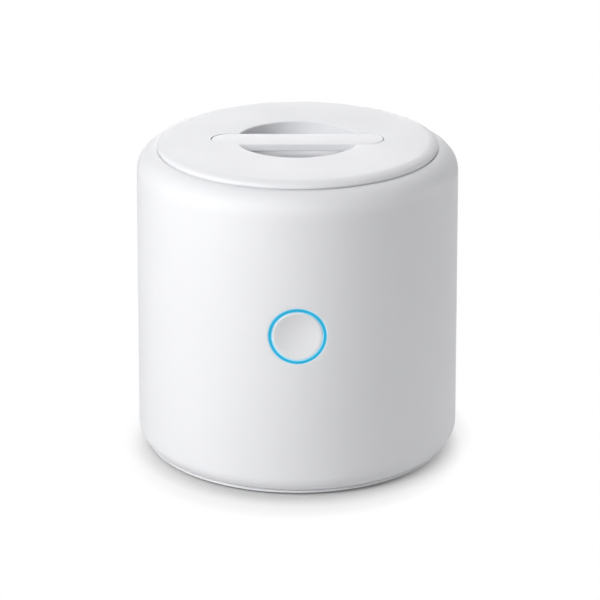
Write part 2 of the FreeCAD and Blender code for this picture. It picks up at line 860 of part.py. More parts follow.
def switch_body():
    half = switch_side / 2
    case = block(-half, half, -switch_front, -button_board_front, button_height - half, button_height + half)
    return case.cut(inward(plunger_radius + plunger_fit, switch_front, switch_front - plunger_well))


def switch_plunger():
    return inward(plunger_radius, plunger_tip, switch_front - plunger_in)


def button_board():
    half = button_board_half_width
    plate = block(-half, half, -button_board_front, -button_board_back,
                  button_height - button_board_below, button_height + button_board_above)
    hole = small_shank_radius + head_clearance
    holes = [inward(hole, button_board_front, button_board_back, side * button_screw_x) for side in (-1, 1)]
    return plate.cut(holes)


def button_board_screws():
    screws = []
    tip = button_board_back + small_screw_grip
    for side in (-1, 1):
        x = side * button_screw_x
        head = inward(small_head_radius, button_board_back, button_board_back - small_head_height, x)
        screws.append(head.fuse(inward(small_shank_radius, tip, button_board_back, x)).removeSplitter())
    return screws


def ring_leds():
    leds = []
    half = ring_led_side / 2
    for angle in around(ring_led_count, six_first_angle):
        x, rise = polar(light_skirt_middle, angle)
        z = button_height + rise
        leds.append(block(x - half, x + half, -button_board_front - ring_led_height, -button_board_front,
                          z - half, z + half))
    return leds


def bar_screw_x():
    return well_radius + bar_land / 2


def inner_screw_places():
    return [polar(inner_screw_circle, angle) for angle in around(4, square_first_angle)]


def magnet_place():
    return polar(magnet_circle, sensor_angle)


def lid_skin():
    """The lid turned in one outline: soft edge, rim with seal groove, spigot and finger well."""
    edge_start = lid_radius - lid_edge_width
    lean = math.asin((lid_edge_width - lid_edge_round) / (lid_edge_crown - lid_edge_round))
    crown_height = lid_top - lid_edge_crown
    corner = on_arc(edge_start, crown_height, lid_edge_crown - lid_edge_round, math.pi / 2 - lean)
    seal_outer = seal_inner + seal_width
    groove_top = ledge_top + seal_thickness
    spigot_inner = spigot_radius - spigot_wall
    return spin(
        (well_radius + well_lip, lid_top),
        (edge_start, lid_top),
        arc_step(edge_start, crown_height, lid_edge_crown, math.pi / 2, math.pi / 2 - lean),
        arc_step(corner[0], corner[1], lid_edge_round, math.pi / 2 - lean, 0),
        (lid_radius, ledge_top),
        (seal_outer + pocket_clearance, ledge_top),
        (seal_outer + pocket_clearance, groove_top),
        (seal_inner - pocket_clearance, groove_top),
        (seal_inner - pocket_clearance, ledge_top),
        (spigot_radius, ledge_top),
        (spigot_radius, inner_cover_top),
        (spigot_inner, inner_cover_top),
        (spigot_inner, plate_bottom),
        (well_radius + well_wall, plate_bottom),
        (well_radius + well_wall, well_bottom - well_floor),
        (0, well_bottom - well_floor),
        (0, well_bottom),
        (well_radius - well_corner, well_bottom),
        arc_step(well_radius - well_corner, well_bottom + well_corner, well_corner, -math.pi / 2, 0),
        (well_radius, lid_top - well_lip),
        arc_step(well_radius + well_lip, lid_top - well_lip, well_lip, math.pi, math.pi / 2),
    )


def lid_cover():
    raised = []
    cuts = [pill(bar_length + 2 * bar_gap, bar_width + 2 * bar_gap, bar_bottom, lid_top)]
    pad_half = bar_width / 2 + bar_pad_margin
    pad_end = bar_length / 2 + bar_pad_margin
    pad_start = well_radius + well_wall / 2
    pilot = small_shank_radius + thread_clearance
    for side in (0, 180):
        pad = block(pad_start, pad_end, -pad_half, pad_half, bar_bottom - bar_pad, plate_bottom)
        raised.append(turned(pad, side))
        hole = upright(small_shank_radius + head_clearance, bar_bottom - bar_pad, bar_bottom, bar_screw_x())
        cuts.append(turned(hole, side))
    for x, y in inner_screw_places():
        raised.append(upright(inner_screw_boss, inner_cover_top, plate_bottom, x, y))
        tip = inner_cover_bottom + inner_counterbore + small_screw_grip + pilot_spare
        cuts.append(upright(pilot, inner_cover_top, tip, x, y))
    x, y = magnet_place()
    raised.append(upright(magnet_boss, plate_bottom - magnet_thickness, plate_bottom, x, y))
    cuts.append(upright(magnet_pocket, plate_bottom - magnet_thickness, plate_bottom, x, y))
    key_root = spigot_radius - spigot_wall / 2
    raised.append(block(-key_width / 2, key_width / 2, key_root, ledge_opening + key_depth,
                        ledge_top - key_height, ledge_top))
    return lid_skin().fuse(raised).cut(cuts).removeSplitter()


def grip_bar():
    bar = pill(bar_length, bar_width, bar_bottom, lid_top)
    bar = bar.makeFillet(bar_edge, flat_rims(bar))
    pilot = small_shank_radius + thread_clearance
    pilot_top = bar_bottom + bar_screw_bite + thread_clearance
    holes = [upright(pilot, bar_bottom, pilot_top, side * bar_screw_x()) for side in (-1, 1)]
    return bar.cut(holes)


def grip_bar_screws():
    seat = bar_bottom - bar_pad
    grip = bar_pad + bar_screw_bite
    return [screw(side * bar_screw_x(), 0, seat, grip) for side in (-1, 1)]


def lid_inner_cover():
    bend = inner_cover_round
    disc = spin((0, inner_cover_bottom), (spigot_radius - bend, inner_cover_bottom),
                arc_step(spigot_radius - bend, inner_cover_bottom + bend, bend, -math.pi / 2, 0),
                (spigot_radius, inner_cover_top), (0, inner_cover_top))
    cuts = []
    for x, y in inner_screw_places():
        cuts.append(upright(small_head_radius + head_clearance, inner_cover_bottom,
                            inner_cover_bottom + inner_counterbore, x, y))
        cuts.append(upright(small_shank_radius + head_clearance, inner_cover_bottom, inner_cover_top, x, y))
    return disc.cut(cuts)


def lid_inner_screws():
    seat = inner_cover_bottom + inner_counterbore
    return [screw(x, y, seat, small_screw_grip, True, small_head_radius, inner_counterbore)
            for x, y in inner_screw_places()]


def lid_seal():
    return tube(seal_inner + seal_width, seal_inner, ledge_top, ledge_top + seal_thickness)


def lid_magnet():
    return upright(magnet_radius, plate_bottom - magnet_thickness, plate_bottom, *magnet_place())


def rack():
    """A round tray with radial slots, a finger hole and four short legs."""
    plate = upright(rack_radius, rack_bottom, rack_top)
    plate = plate.makeFillet(rack_edge, flat_rims(plate))
    leg_top = rack_bottom + rack_thickness / 2
    legs = [upright(rack_leg_radius, chamber_floor, leg_top, *polar(rack_leg_circle, angle))
            for angle in around(rack_leg_count, square_first_angle)]
    length = rack_slot_outer - rack_slot_inner
    slot = pill(length, rack_slot_width, rack_bottom, rack_top)
    slot.translate(Vector((rack_slot_outer + rack_slot_inner) / 2, 0, 0))
    cuts = [turned(slot, angle) for angle in around(rack_slot_count)]
    cuts.append(upright(rack_finger_radius, rack_bottom, rack_top))
    return plate.cut(cuts).fuse(legs).removeSplitter()


def lead(points):
    """A lead along straight runs joined by tangent arcs, as large as the shorter run allows."""
    edges = []
    here = points[0]
    for before, corner, after in zip(points, points[1:], points[2:]):
        into = (corner - before).normalize()
        away = (after - corner).normalize()
        half_turn = into.getAngle(away) / 2
        cut_back = lead_bend_share * min(corner.distanceToPoint(before), corner.distanceToPoint(after))
        bend = cut_back / math.tan(half_turn)
        first = corner - into * cut_back
        last = corner + away * cut_back
        to_middle = (away - into).normalize()
        middle = corner + to_middle * (bend / math.cos(half_turn) - bend)
        edges.append(Part.LineSegment(here, first).toShape())
        edges.append(Part.Arc(first, middle, last).toShape())
        here = last
    edges.append(Part.LineSegment(here, points[-1]).toShape())
    path = Part.Wire(edges)
    circle = Part.Circle(points[0], points[1] - points[0], lead_radius).toShape()
    return path.makePipeShell([Part.Wire([circle])], True, False)


def plug_side(place, side):
    """The middle of a main board plug's left (-1) or right (1) face, at the height of a lead."""
    x = place[0] + side * plug_width / 2
    return Vector(x, board_front + place[1], board_top + lead_lift + lead_radius)


def plug_roof(place):
    return Vector(place[0], board_front + place[1], board_top + plug_height)


def lamp_lead():
    end = plug_roof(lamp_plug_place)
    height = uv_board_top + lead_lift + lead_radius
    return lead([Vector(0, lamp_lead_start, height), Vector(0, end.y, height), end])


def battery_lead():
    start = Vector(cell_length / 2, cell_offset, cell_axis + battery_lead_rise)
    end = plug_side(battery_plug_place, 1)
    turn = start + Vector(*battery_lead_turn, 0)
    return lead([start, start + Vector(battery_lead_out, 0, 0), turn,
                 end + Vector(battery_lead_approach, 0, 0), end])


def button_lead():
    start = plug_side(button_plug_place, -1)
    end = Vector(button_plug_x, -button_board_front - button_plug_height / 2, button_plug_bottom())
    along_wall = [Vector(*polar(button_lead_circle, angle), level)
                  for angle, level in zip(button_lead_angles, button_lead_levels)]
    return lead([start, start - Vector(button_lead_out, 0, 0)] + along_wall
                + [end - Vector(0, 0, button_lead_drop), end])


def sensor_lead():
    start = plug_roof(sensor_plug_place)
    x, y = polar(sensor_circle, sensor_angle)
    end = Vector(x, y, ring_bottom - sensor_height)
    return lead([start, start + Vector(0, 0, sensor_lead_rise), Vector(x, y, chamber_floor), end])


def main():
    os.makedirs("parts", exist_ok=True)
    single = [
        body_shell, base_cover, chamber_liner, liner_clamp_ring, lid_sensor, lamp_housing, window_seal,
        quartz_window, uv_board, heat_sink, battery_cradle, battery_clamp, main_board, usb_socket, light_ring,
        button_board, switch_body, lamp_lead, battery_lead, button_lead, sensor_lead, lid_cover, grip_bar,
        lid_inner_cover, lid_seal, lid_magnet, button_cap, switch_plunger, rack,
    ]
    groups = [
        rubber_feet, base_screws, clamp_ring_screws, uv_leds, heat_sink_nuts, battery_cells,
        battery_clamp_screws, main_board_screws, board_chips, lead_headers, ring_leds, button_board_screws,
        grip_bar_screws, lid_inner_screws,
    ]
    for piece in single:
        save(piece.__name__, piece())
    for group in groups:
        save(group.__name__, *group())


main()
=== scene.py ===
# %% [markdown]
# A small steriliser for baby things stands on a table: a squat white drum with a loose lid, a grip bar
# over a finger well, and one push button inside a blue ring of light. Its solids come from CAD and are
# already in place. Blender's job is the skin: smooth moulded plastic, steel, quartz, rubber and light.
# The first step loads those solids as a frame that nothing here may move.

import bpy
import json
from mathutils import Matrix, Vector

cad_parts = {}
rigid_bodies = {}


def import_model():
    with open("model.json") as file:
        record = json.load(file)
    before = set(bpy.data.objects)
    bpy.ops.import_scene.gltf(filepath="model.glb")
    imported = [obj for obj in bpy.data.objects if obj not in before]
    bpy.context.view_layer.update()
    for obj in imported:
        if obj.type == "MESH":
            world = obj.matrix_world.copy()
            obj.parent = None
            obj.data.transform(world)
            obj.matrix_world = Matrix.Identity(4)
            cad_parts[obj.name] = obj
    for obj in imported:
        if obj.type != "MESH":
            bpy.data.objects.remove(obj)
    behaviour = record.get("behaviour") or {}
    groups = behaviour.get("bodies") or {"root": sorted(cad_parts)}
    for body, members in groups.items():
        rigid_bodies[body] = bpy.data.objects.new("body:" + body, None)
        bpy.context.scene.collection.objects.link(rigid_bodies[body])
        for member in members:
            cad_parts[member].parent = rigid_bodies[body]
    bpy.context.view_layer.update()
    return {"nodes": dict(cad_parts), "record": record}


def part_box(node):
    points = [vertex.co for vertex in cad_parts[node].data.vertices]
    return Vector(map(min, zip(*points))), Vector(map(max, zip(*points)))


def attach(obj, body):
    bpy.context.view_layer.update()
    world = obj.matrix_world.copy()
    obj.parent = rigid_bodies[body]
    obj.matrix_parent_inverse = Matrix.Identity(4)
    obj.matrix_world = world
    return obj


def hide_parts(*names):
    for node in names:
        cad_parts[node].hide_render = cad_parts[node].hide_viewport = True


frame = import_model()

import json
import math

import bmesh
import bpy
from mathutils import Vector

# %% [markdown]
# Nearly every form on this object was turned or moulded about an upright axis, so its shape is an
# outline of radius and height. Such an outline could be drawn as a curve and given a Screw modifier.
# Writing the rows of vertices directly is longer, but the wall's grid can then be opened up round the
# button and the charging port, and the mesh stays in clean quads.

# %% Outlines
MM = 0.001


def polar(centre, radius, angle):
    turn = math.radians(angle)
    return (centre[0] + radius * math.cos(turn), centre[1] + radius * math.sin(turn))


def arc(centre, radius, first, last, steps):
    """Points along an arc of an outline, from one angle to another in degrees."""
    return [polar(centre, radius, first + (last - first) * step / steps) for step in range(steps + 1)]


print("a quarter round of 3 points:", arc((0, 0), 1, 0, 90, 2))

# %% [markdown]
# A row is one ring of vertices for one outline point. Column 0 faces the front, where the button is,
# and the columns go round towards +X. Two rows are joined by a band of quads, or by a fan of triangles
# where one of them has shrunk to a single vertex on the axis.

# %% Rows and bands
TURNS = 288


def turned_rows(bm, outline, turns=TURNS, middle=(0, 0)):
    """A row for each outline point, whose radius is a number or a function of the angle."""
    rows = []
    for radius, height in outline:
        count = 1 if radius == 0 else turns
        row = []
        for column in range(count):
            turn = 2 * math.pi * column / count
            reach = radius(turn) if callable(radius) else radius
            x = middle[0] + reach * math.sin(turn)
            y = middle[1] - reach * math.cos(turn)
            row.append(bm.verts.new((x, y, height)))
        rows.append(row)
    return rows


def join(bm, first, second, leave_out=()):
    count = max(len(first), len(second))
    for column in range(count):
        if column in leave_out:
            continue
        after = (column + 1) % count
        corners = [first[column % len(first)], first[after % len(first)],
                   second[after % len(second)], second[column % len(second)]]
        bm.faces.new(dict.fromkeys(corners))


def skin(bm, rows, closed=True):
    """Joins each row to the next, and the last to the first where the outline closes on itself."""
    for first, second in zip(rows, rows[1:]):
        join(bm, first, second)
    if closed:
        join(bm, rows[-1], rows[0])


print("columns round the body:", TURNS)

# %% [markdown]
# Every finished mesh goes through the same last steps. Its faces are turned outwards and shaded smooth,
# and its crisp edges are marked sharp. Then the piece is handed to the frame: it rides on a CAD body,
# hides the CAD node it covers, and takes its finish.

# %% From mesh to piece
CREASE = math.radians(38)


def soften(bm):
    """Shades every face smooth, and keeps the edges beyond the crease crisp."""
    for face in bm.faces:
        face.smooth = True
    for edge in bm.edges:
        edge.smooth = edge.calc_face_angle(0) < CREASE


def new_mesh(name, bm):
    bmesh.ops.recalc_face_normals(bm, faces=bm.faces)
    soften(bm)
    mesh = bpy.data.meshes.new(name)
    bm.to_mesh(mesh)
    bm.free()
    return mesh


def new_object(name, data):
    thing = bpy.data.objects.new(name, data)
    bpy.context.scene.collection.objects.link(thing)
    return thing


def new_piece(name, bm, body, node, material):
    piece = new_object(name, new_mesh(name, bm))
    piece.data.materials.append(material)
    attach(piece, body)
    if node:
        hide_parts(node)
    print(f"{name}: {len(piece.data.polygons)} faces on {body}, for {node}")
    return piece


print(f"edges stay crisp beyond {math.degrees(CREASE):.0f} degrees")

# %% [markdown]
# A few pockets are easier to cut than to weave into the rows: the slot for the grip bar, the screw
# holes, the pockets for the feet. The cutter is a closed form of its own, used once by a Boolean
# modifier and then thrown away, so that the piece keeps a plain mesh. Flat faces take such cuts well.

# %% Cutting with another form
OVERCUT = 1.0 * MM
PLUG_TURNS = 64


def shape_with(piece, bm, operation="DIFFERENCE"):
    tool = new_object("cutter", new_mesh("cutter", bm))
    modifier = piece.modifiers.new("cut", "BOOLEAN")
    modifier.operation = operation
    modifier.solver = "EXACT"
    modifier.object = tool
    graph = bpy.context.evaluated_depsgraph_get()
    shaped = bpy.data.meshes.new_from_object(piece.evaluated_get(graph))
    piece.modifiers.remove(modifier)
    old = piece.data
    piece.data = shaped
    shaped.name = piece.name
    bpy.data.meshes.remove(old)
    bpy.data.meshes.remove(tool.data)
    again = bmesh.new()
    again.from_mesh(shaped)
    soften(again)
    again.to_mesh(shaped)
    again.free()
    print(f"{piece.name}: {operation.lower()}, now {len(shaped.polygons)} faces")


def box_form(bm, low, high):
    """A block between two corners, for cutting or adding."""
    plan = ((low[0], low[1]), (high[0], low[1]), (high[0], high[1]), (low[0], high[1]))
    corners = [bm.verts.new((x, y, z)) for z in (low[2], high[2]) for x, y in plan]
    for side in range(4):
        after = (side + 1) % 4
        bm.faces.new([corners[side], corners[after], corners[after + 4], corners[side + 4]])
    bm.faces.new(corners[:4])
    bm.faces.new(corners[4:])


def disc_form(bm, middle, radius, low, high):
    """A round plug about an upright line, for cutting or adding."""
    outline = [(0, low), (radius, low), (radius, high), (0, high)]
    skin(bm, turned_rows(bm, outline, PLUG_TURNS, middle), False)


print("a cutter passes the face by", OVERCUT, "m")

# %% [markdown]
# A finish is a node tree round one Principled shader. Whatever is the same all over is typed on the
# shader's own sockets. What changes over the surface, such as fine grain or a drift in gloss, comes
# from noise in object space, so that it stays with the piece and needs no image.

# %% Finishes
NOISE_LOW = 0.3
NOISE_HIGH = 0.7


class Finish:
    """A node material with short ways to add grain, drift and bump."""

    def __init__(self, name, **sockets):
        self.material = bpy.data.materials.new(name)
        self.material.use_nodes = True
        self.nodes = self.material.node_tree.nodes
        self.links = self.material.node_tree.links
        self.shader = self.nodes["Principled BSDF"]
        for socket, value in sockets.items():
            self.shader.inputs[socket.replace("_", " ")].default_value = value
        self.place = self.nodes.new("ShaderNodeTexCoord").outputs["Object"]

    def add(self, kind, inputs=None, **settings):
        node = self.nodes.new(kind)
        for name, value in settings.items():
            setattr(node, name, value)
        for socket, value in (inputs or {}).items():
            if isinstance(value, bpy.types.NodeSocket):
                self.links.new(value, node.inputs[socket])
            else:
                node.inputs[socket].default_value = value
        return node

    def maths(self, operation, *values):
        """One step of arithmetic on node values."""
        return self.add("ShaderNodeMath", dict(enumerate(values)), operation=operation).outputs["Value"]

    def ramp(self, value, low, high, first=0.0, last=1.0):
        """Turns one range of a value into another, and stays level outside it."""
        node = self.add("ShaderNodeMapRange", {"Value": value, "From Min": low, "From Max": high,
                                               "To Min": first, "To Max": last})
        return node.outputs["Result"]

    def noise(self, scale, detail=2.0, vector=None):
        node = self.add("ShaderNodeTexNoise", {"Vector": vector or self.place, "Scale": scale,
                                               "Detail": detail})
        return node.outputs["Fac"]

    def span(self, value, low, high):
        """Spreads the middle of a noise value over a range."""
        return self.ramp(value, NOISE_LOW, NOISE_HIGH, low, high)

    def tint(self, value, first, second, low=0.35, high=0.65):
        """Fades from one colour to another over a range of a value."""
        node = self.add("ShaderNodeValToRGB", {"Fac": value})
        for stop, place, colour in zip(node.color_ramp.elements, (low, high), (first, second)):
            stop.position = place
            stop.color = (*colour, 1)
        return node.outputs["Color"]

    def feed(self, socket, value):
        self.links.new(value, self.shader.inputs[socket])

    def dress(self, tones, tone_grain, gloss, gloss_grain):
        """Two near tones and a range of gloss, each from noise given by its scale and detail."""
        self.feed("Base Color", self.tint(self.noise(*tone_grain), *tones))
        self.feed("Roughness", self.span(self.noise(*gloss_grain), *gloss))

    def bump(self, height, distance):
        node = self.add("ShaderNodeBump", {"Height": height, "Distance": distance, "Strength": 1.0})
        self.feed("Normal", node.outputs["Normal"])


print("finishes are built on", bpy.app.version_string)

# %% [markdown]
# The drum, lid, bar and button are white ABS from a fine matt mould. A flat white would look like
# paper. Real ABS has a fine skin that softens reflections, and its gloss and its white drift a little
# from place to place. All of it is slight, because the object is new. The shader's coat stands for the
# clear top of the plastic: a slanting look passes through more of it, so the sides of the drum are a
# shade darker and stay clear of a white background.

# %% White plastic
SKIN_GRAIN = 2600.0
SKIN_DEPTH = 0.004 * MM
SKIN_CLEAR = 0.955
SKIN_IOR = 1.05
SKIN_ROUGHNESS = 0.6
TONE_DRIFT = 0.985
GLOSS_DRIFT = 0.03


def moulded_white(name, tone, roughness):
    finish = Finish(name, IOR=1.5, Specular_IOR_Level=0.25, Coat_Weight=1.0, Coat_IOR=SKIN_IOR,
                    Coat_Roughness=SKIN_ROUGHNESS, Coat_Tint=(SKIN_CLEAR, SKIN_CLEAR, SKIN_CLEAR, 1))
    white = tuple(part / SKIN_CLEAR for part in tone)
    dimmer = tuple(TONE_DRIFT * part for part in white)
    gloss = (roughness - GLOSS_DRIFT, roughness + GLOSS_DRIFT)
    finish.dress((dimmer, white), (18.0, 2.0), gloss, (60.0, 3.0))
    finish.bump(finish.noise(SKIN_GRAIN, 3.0), SKIN_DEPTH)
    return finish.material


shell_white = moulded_white("shell_white", (0.835, 0.838, 0.86), 0.52)
grip_white = moulded_white("grip_white", (0.84, 0.843, 0.865), 0.5)
button_white = moulded_white("button_white", (0.825, 0.828, 0.85), 0.52)
inner_white = moulded_white("inner_white", (0.85, 0.85, 0.86), 0.22)
print("white finishes:", shell_white.name, grip_white.name, button_white.name, inner_white.name)

# %% [markdown]
# The body's outline has a drafted wall between two rounds, so that the moulding leaves its tool. The
# levels come from the frame, the rounds are the drawing's own. Each centre follows from what the round
# touches, which keeps neighbours tangent and the highlights unbroken.

# %% Sizes of the body
rim_overhang = 0.2 * MM
parting_gap = 0.1 * MM
lip_width = 0.5 * MM
shell_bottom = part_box("body_shell")[0].z
ledge_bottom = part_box("chamber_liner")[1].z
ledge_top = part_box("lid_seal")[0].z
lid_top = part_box("lid_cover")[1].z
lid_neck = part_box("lid_cover")[1].x - rim_overhang

shoulder_radius = 59.31 * MM
wall_slope = 0.011
wall_thickness = 2.4 * MM
foot_round = 7.0 * MM
foot_rise = 5.35 * MM
foot_edge = 0.2 * MM
shoulder_round = 8.43 * MM
recess_radius = lid_neck + parting_gap
lip_radius = recess_radius + lip_width
lip_height = 1.9 * MM
lip_round = 0.3 * MM
opening_radius = 45.2 * MM
opening_edge = 0.3 * MM
mouth_radius = 55.39 * MM

draft = math.degrees(math.atan(wall_slope))
draft_sine = math.sin(math.radians(draft))
draft_cosine = math.cos(math.radians(draft))
shoulder_middle = shoulder_radius - shoulder_round * draft_cosine
shoulder_level = ledge_top + lip_height - math.sqrt(
    shoulder_round ** 2 - (lip_radius - shoulder_middle) ** 2)
wall_high = shoulder_level + shoulder_round * draft_sine
wall_low = shell_bottom + foot_rise + foot_round * draft_sine


def wall_radius(height):
    return shoulder_radius + wall_slope * (wall_high - height)


print(f"wall from {wall_low:.4f} to {wall_high:.4f} m, radius {wall_radius(wall_low):.4f} at the foot")

# %% [markdown]
# The outline runs from the foot up the outside, over the lip into the lid's recess, across the ledge
# and down the inside. The straight wall is given as 51 evenly spaced heights, the same inside and out,
# because the two ports are let into that grid.

# %% Outline of the body
WALL_STEPS = 50

foot_middle = (wall_radius(wall_low) - foot_round * draft_cosine, shell_bottom + foot_rise)
shoulder_point = (shoulder_middle, shoulder_level)
edge_reach = math.sqrt((foot_round - foot_edge) ** 2 - (foot_rise - foot_edge) ** 2)
edge_middle = (foot_middle[0] + edge_reach, shell_bottom + foot_edge)
edge_turn = -math.degrees(math.asin((foot_rise - foot_edge) / (foot_round - foot_edge)))
lip_turn = math.degrees(math.acos(
    (recess_radius + lip_round - shoulder_middle) / (shoulder_round - lip_round)))
lip_middle = polar(shoulder_point, shoulder_round - lip_round, lip_turn)
inner_shoulder = shoulder_round - wall_thickness
inner_foot = foot_round - wall_thickness
ledge_turn = math.degrees(math.asin((ledge_bottom - shoulder_level) / inner_shoulder))
mouth_turn = -math.degrees(math.acos((mouth_radius - foot_middle[0]) / inner_foot))
wall_depth = wall_thickness / draft_cosine

wall_heights = [wall_low + (wall_high - wall_low) * step / WALL_STEPS for step in range(WALL_STEPS + 1)]
outer_wall = [(wall_radius(height), height) for height in wall_heights]
inner_wall = [(wall_radius(height) - wall_depth, height) for height in reversed(wall_heights)]
foot_outline = arc(edge_middle, foot_edge, -90, edge_turn, 4)
foot_outline += arc(foot_middle, foot_round, edge_turn, draft, 16)[1:-1]
top_outline = arc(shoulder_point, shoulder_round, draft, lip_turn, 32)[1:]
top_outline += arc(lip_middle, lip_round, lip_turn, 180, 8)[1:]
top_outline += [(recess_radius, ledge_top)]
top_outline += arc((opening_radius + opening_edge, ledge_top - opening_edge), opening_edge, 90, 180, 5)
top_outline += [(opening_radius, ledge_bottom)]
top_outline += arc(shoulder_point, inner_shoulder, ledge_turn, draft, 10)[:-1]
mouth_outline = arc(foot_middle, inner_foot, draft, mouth_turn, 8)[1:]
mouth_outline += [(mouth_radius, shell_bottom)]
body_outline = foot_outline + outer_wall + top_outline + inner_wall + mouth_outline
print("points in the body's outline:", len(body_outline))

# %% [markdown]
# The button's bore and the charging port are let into the wall by taking a block out of the grid and
# filling it with loops that change, step by step, from the block's border into the edge of the hole.
# A Boolean cut would leave odd slivers on a curved glossy wall, and every sliver shows in a highlight.
# The hole is a pill: a circle drawn out by half_run to each side, and a plain circle where that is 0.

# %% Shape of a port
def port_block(height, side, reach):
    """The wall rows and columns that a port at this height takes the place of."""
    rows = [index for index, level in enumerate(wall_heights) if abs(level - height) < reach]
    half = round(reach / (wall_radius(height) * 2 * math.pi / TURNS))
    middle = 0 if side < 0 else TURNS // 2
    return rows, [(middle + step) % TURNS for step in range(-half, half + 1)]


def block_border(grid, rows, columns):
    path = [(rows[0], column) for column in columns]
    path += [(row, columns[-1]) for row in rows[1:]]
    path += [(rows[-1], column) for column in reversed(columns[:-1])]
    path += [(row, columns[0]) for row in reversed(rows[1:-1])]
    return [grid[row][column] for row, column in path]


def to_edge(ray, half_run, radius):
    """The share of a ray from the port's middle at which it meets the edge of the hole."""
    x, rise = abs(ray[0]), abs(ray[1])
    if x * radius <= half_run * rise:
        return radius / rise
    square = x ** 2 + rise ** 2
    along = half_run * x
    return (along + math.sqrt(along ** 2 - square * (half_run ** 2 - radius ** 2))) / square


print("a ray of 2 meets a round hole of 1 at", to_edge((2, 0), 0, 1), "of its length")

# %% [markdown]
# The loops lie on the wall's own face, so the patch keeps the drum's curve right up to the hole. Three
# more loops go over a small round at its edge. Inside the wall the same patch is made without a round.

# %% Letting a port into the wall
PATCH_LOOPS = 6
PORT_EDGE = 0.2 * MM
PORT_EDGE_STEPS = 3


def edge_steps(edge, steps=5):
    """Pairs of inset and depth that walk over a small round, from the face to the side."""
    turns = [math.radians(90 * step / steps) for step in range(steps + 1)]
    return [(edge * (1 - math.sin(turn)), edge * (1 - math.cos(turn))) for turn in turns]


def along_rays(rays, shares):
    return [(x * share, rise * share) for (x, rise), share in zip(rays, shares)]


def wall_loop(bm, points, height, side, inset, depth):
    """A loop round a port, on the wall's face drawn in by the inset and then sunk by the depth."""
    loop = []
    for x, rise in points:
        face = math.sqrt((wall_radius(height + rise) - inset) ** 2 - x ** 2)
        loop.append(bm.verts.new((x, side * (face - depth), height + rise)))
    return loop


def port_loops(bm, border, height, side, half_run, radius, inset, edge):
    rays = [(corner.co.x, corner.co.z - height) for corner in border]
    shares = [to_edge(ray, half_run, radius + edge) for ray in rays]
    loops = [border]
    for step in range(1, PATCH_LOOPS + 1):
        so_far = [1 + (share - 1) * step / PATCH_LOOPS for share in shares]
        loops.append(wall_loop(bm, along_rays(rays, so_far), height, side, inset, 0))
    for grown, sunk in edge_steps(edge, PORT_EDGE_STEPS)[1:] if edge else ():
        shares = [to_edge(ray, half_run, radius + grown) for ray in rays]
        loops.append(wall_loop(bm, along_rays(rays, shares), height, side, inset, sunk))
    skin(bm, loops, False)
    return loops[-1]


print("loops in a port's patch:", PATCH_LOOPS)

# %% [markdown]
# Now the body itself. The button's bore lies level with the cap in the frame, and is a hair wider than
# the light ring that fills it. The charging port at the back is sized for the grip of a plug.

# %% The body
button_low, button_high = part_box("button_cap")
button_level = (button_low.z + button_high.z) / 2
button_patch = 16.0 * MM
ring_outer = 10.47 * MM
bore_clearance = 0.1 * MM
socket_low, socket_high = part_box("usb_socket")
port_level = (socket_low.z + socket_high.z) / 2
port_patch = 10.0 * MM
port_radius = 3.5 * MM
port_half_run = 2.8 * MM
ports = [
    (button_level, -1, button_patch, 0.0, ring_outer + bore_clearance),
    (port_level, 1, port_patch, port_half_run, port_radius),
]

bm = bmesh.new()
rows = turned_rows(bm, body_outline)
outer_start = len(foot_outline)
inner_start = len(foot_outline) + len(outer_wall) + len(top_outline)
outer_grid = rows[outer_start:outer_start + len(wall_heights)]
inner_grid = rows[inner_start:inner_start + len(wall_heights)][::-1]
opened = {}
for height, side, reach, half_run, radius in ports:
    block_rows, block_columns = port_block(height, side, reach)
    for row in block_rows[:-1]:
        opened.setdefault(outer_start + row, set()).update(block_columns[:-1])
        opened.setdefault(inner_start + WALL_STEPS - 1 - row, set()).update(block_columns[:-1])
    rims = []
    for grid, inset, edge in ((outer_grid, 0.0, PORT_EDGE), (inner_grid, wall_depth, 0.0)):
        border = block_border(grid, block_rows, block_columns)
        rims.append(port_loops(bm, border, height, side, half_run, radius, inset, edge))
    join(bm, *rims)
for index in range(len(rows)):
    join(bm, rows[index], rows[(index + 1) % len(rows)], opened.get(index, ()))
body = new_piece("drum_shell", bm, "housing", "body_shell", shell_white)

# %% [markdown]
# One notch in the ledge at the back takes a small key under the lid, so that the lid goes on one way
# round. It lies on a flat ledge, so a cut does no harm there.

# %% The key's notch
key_half = 2.5 * MM
key_reach = 1.0 * MM
key_clearance = 0.4 * MM
notch_half = key_half + key_clearance
notch_end = opening_radius + key_reach + key_clearance

bm = bmesh.new()
box_form(bm, (-notch_half, opening_radius - 2 * OVERCUT, ledge_bottom - OVERCUT),
         (notch_half, notch_end, ledge_top + OVERCUT))
shape_with(body, bm)

# %% [markdown]
# The lid drops into the recess with a thin parting gap all round. A small bead under its rim reaches
# out over that gap, so that from above only a fine line is left. The top is flat, its edge falls away
# in a slow crown, and a finger well is sunk into the middle. The underside, with the groove for the
# seal and the spigot that enters the chamber, belongs to the same outline.

# %% Sizes of the lid
bead_reach = 0.3 * MM
bead_round = 0.3 * MM
lid_radius = lid_neck + bead_reach
crown_width = 4.2 * MM
crown_round = 7.37 * MM
lid_edge = 1.6 * MM
lid_low_edge = 0.2 * MM
lid_plate = 2.4 * MM
well_radius = 22.42 * MM
well_depth = 12.0 * MM
well_corner = 3.0 * MM
well_lip = 0.5 * MM
well_wall = 2.0 * MM
bar_low, bar_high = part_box("grip_bar")
seal_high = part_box("lid_seal")[1]
seal_width = 2.8 * MM
seal_clearance = 0.1 * MM
cover_low, cover_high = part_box("lid_inner_cover")
cover_gap = 0.5 * MM
spigot_radius = cover_high.x
spigot_wall = 2.0 * MM

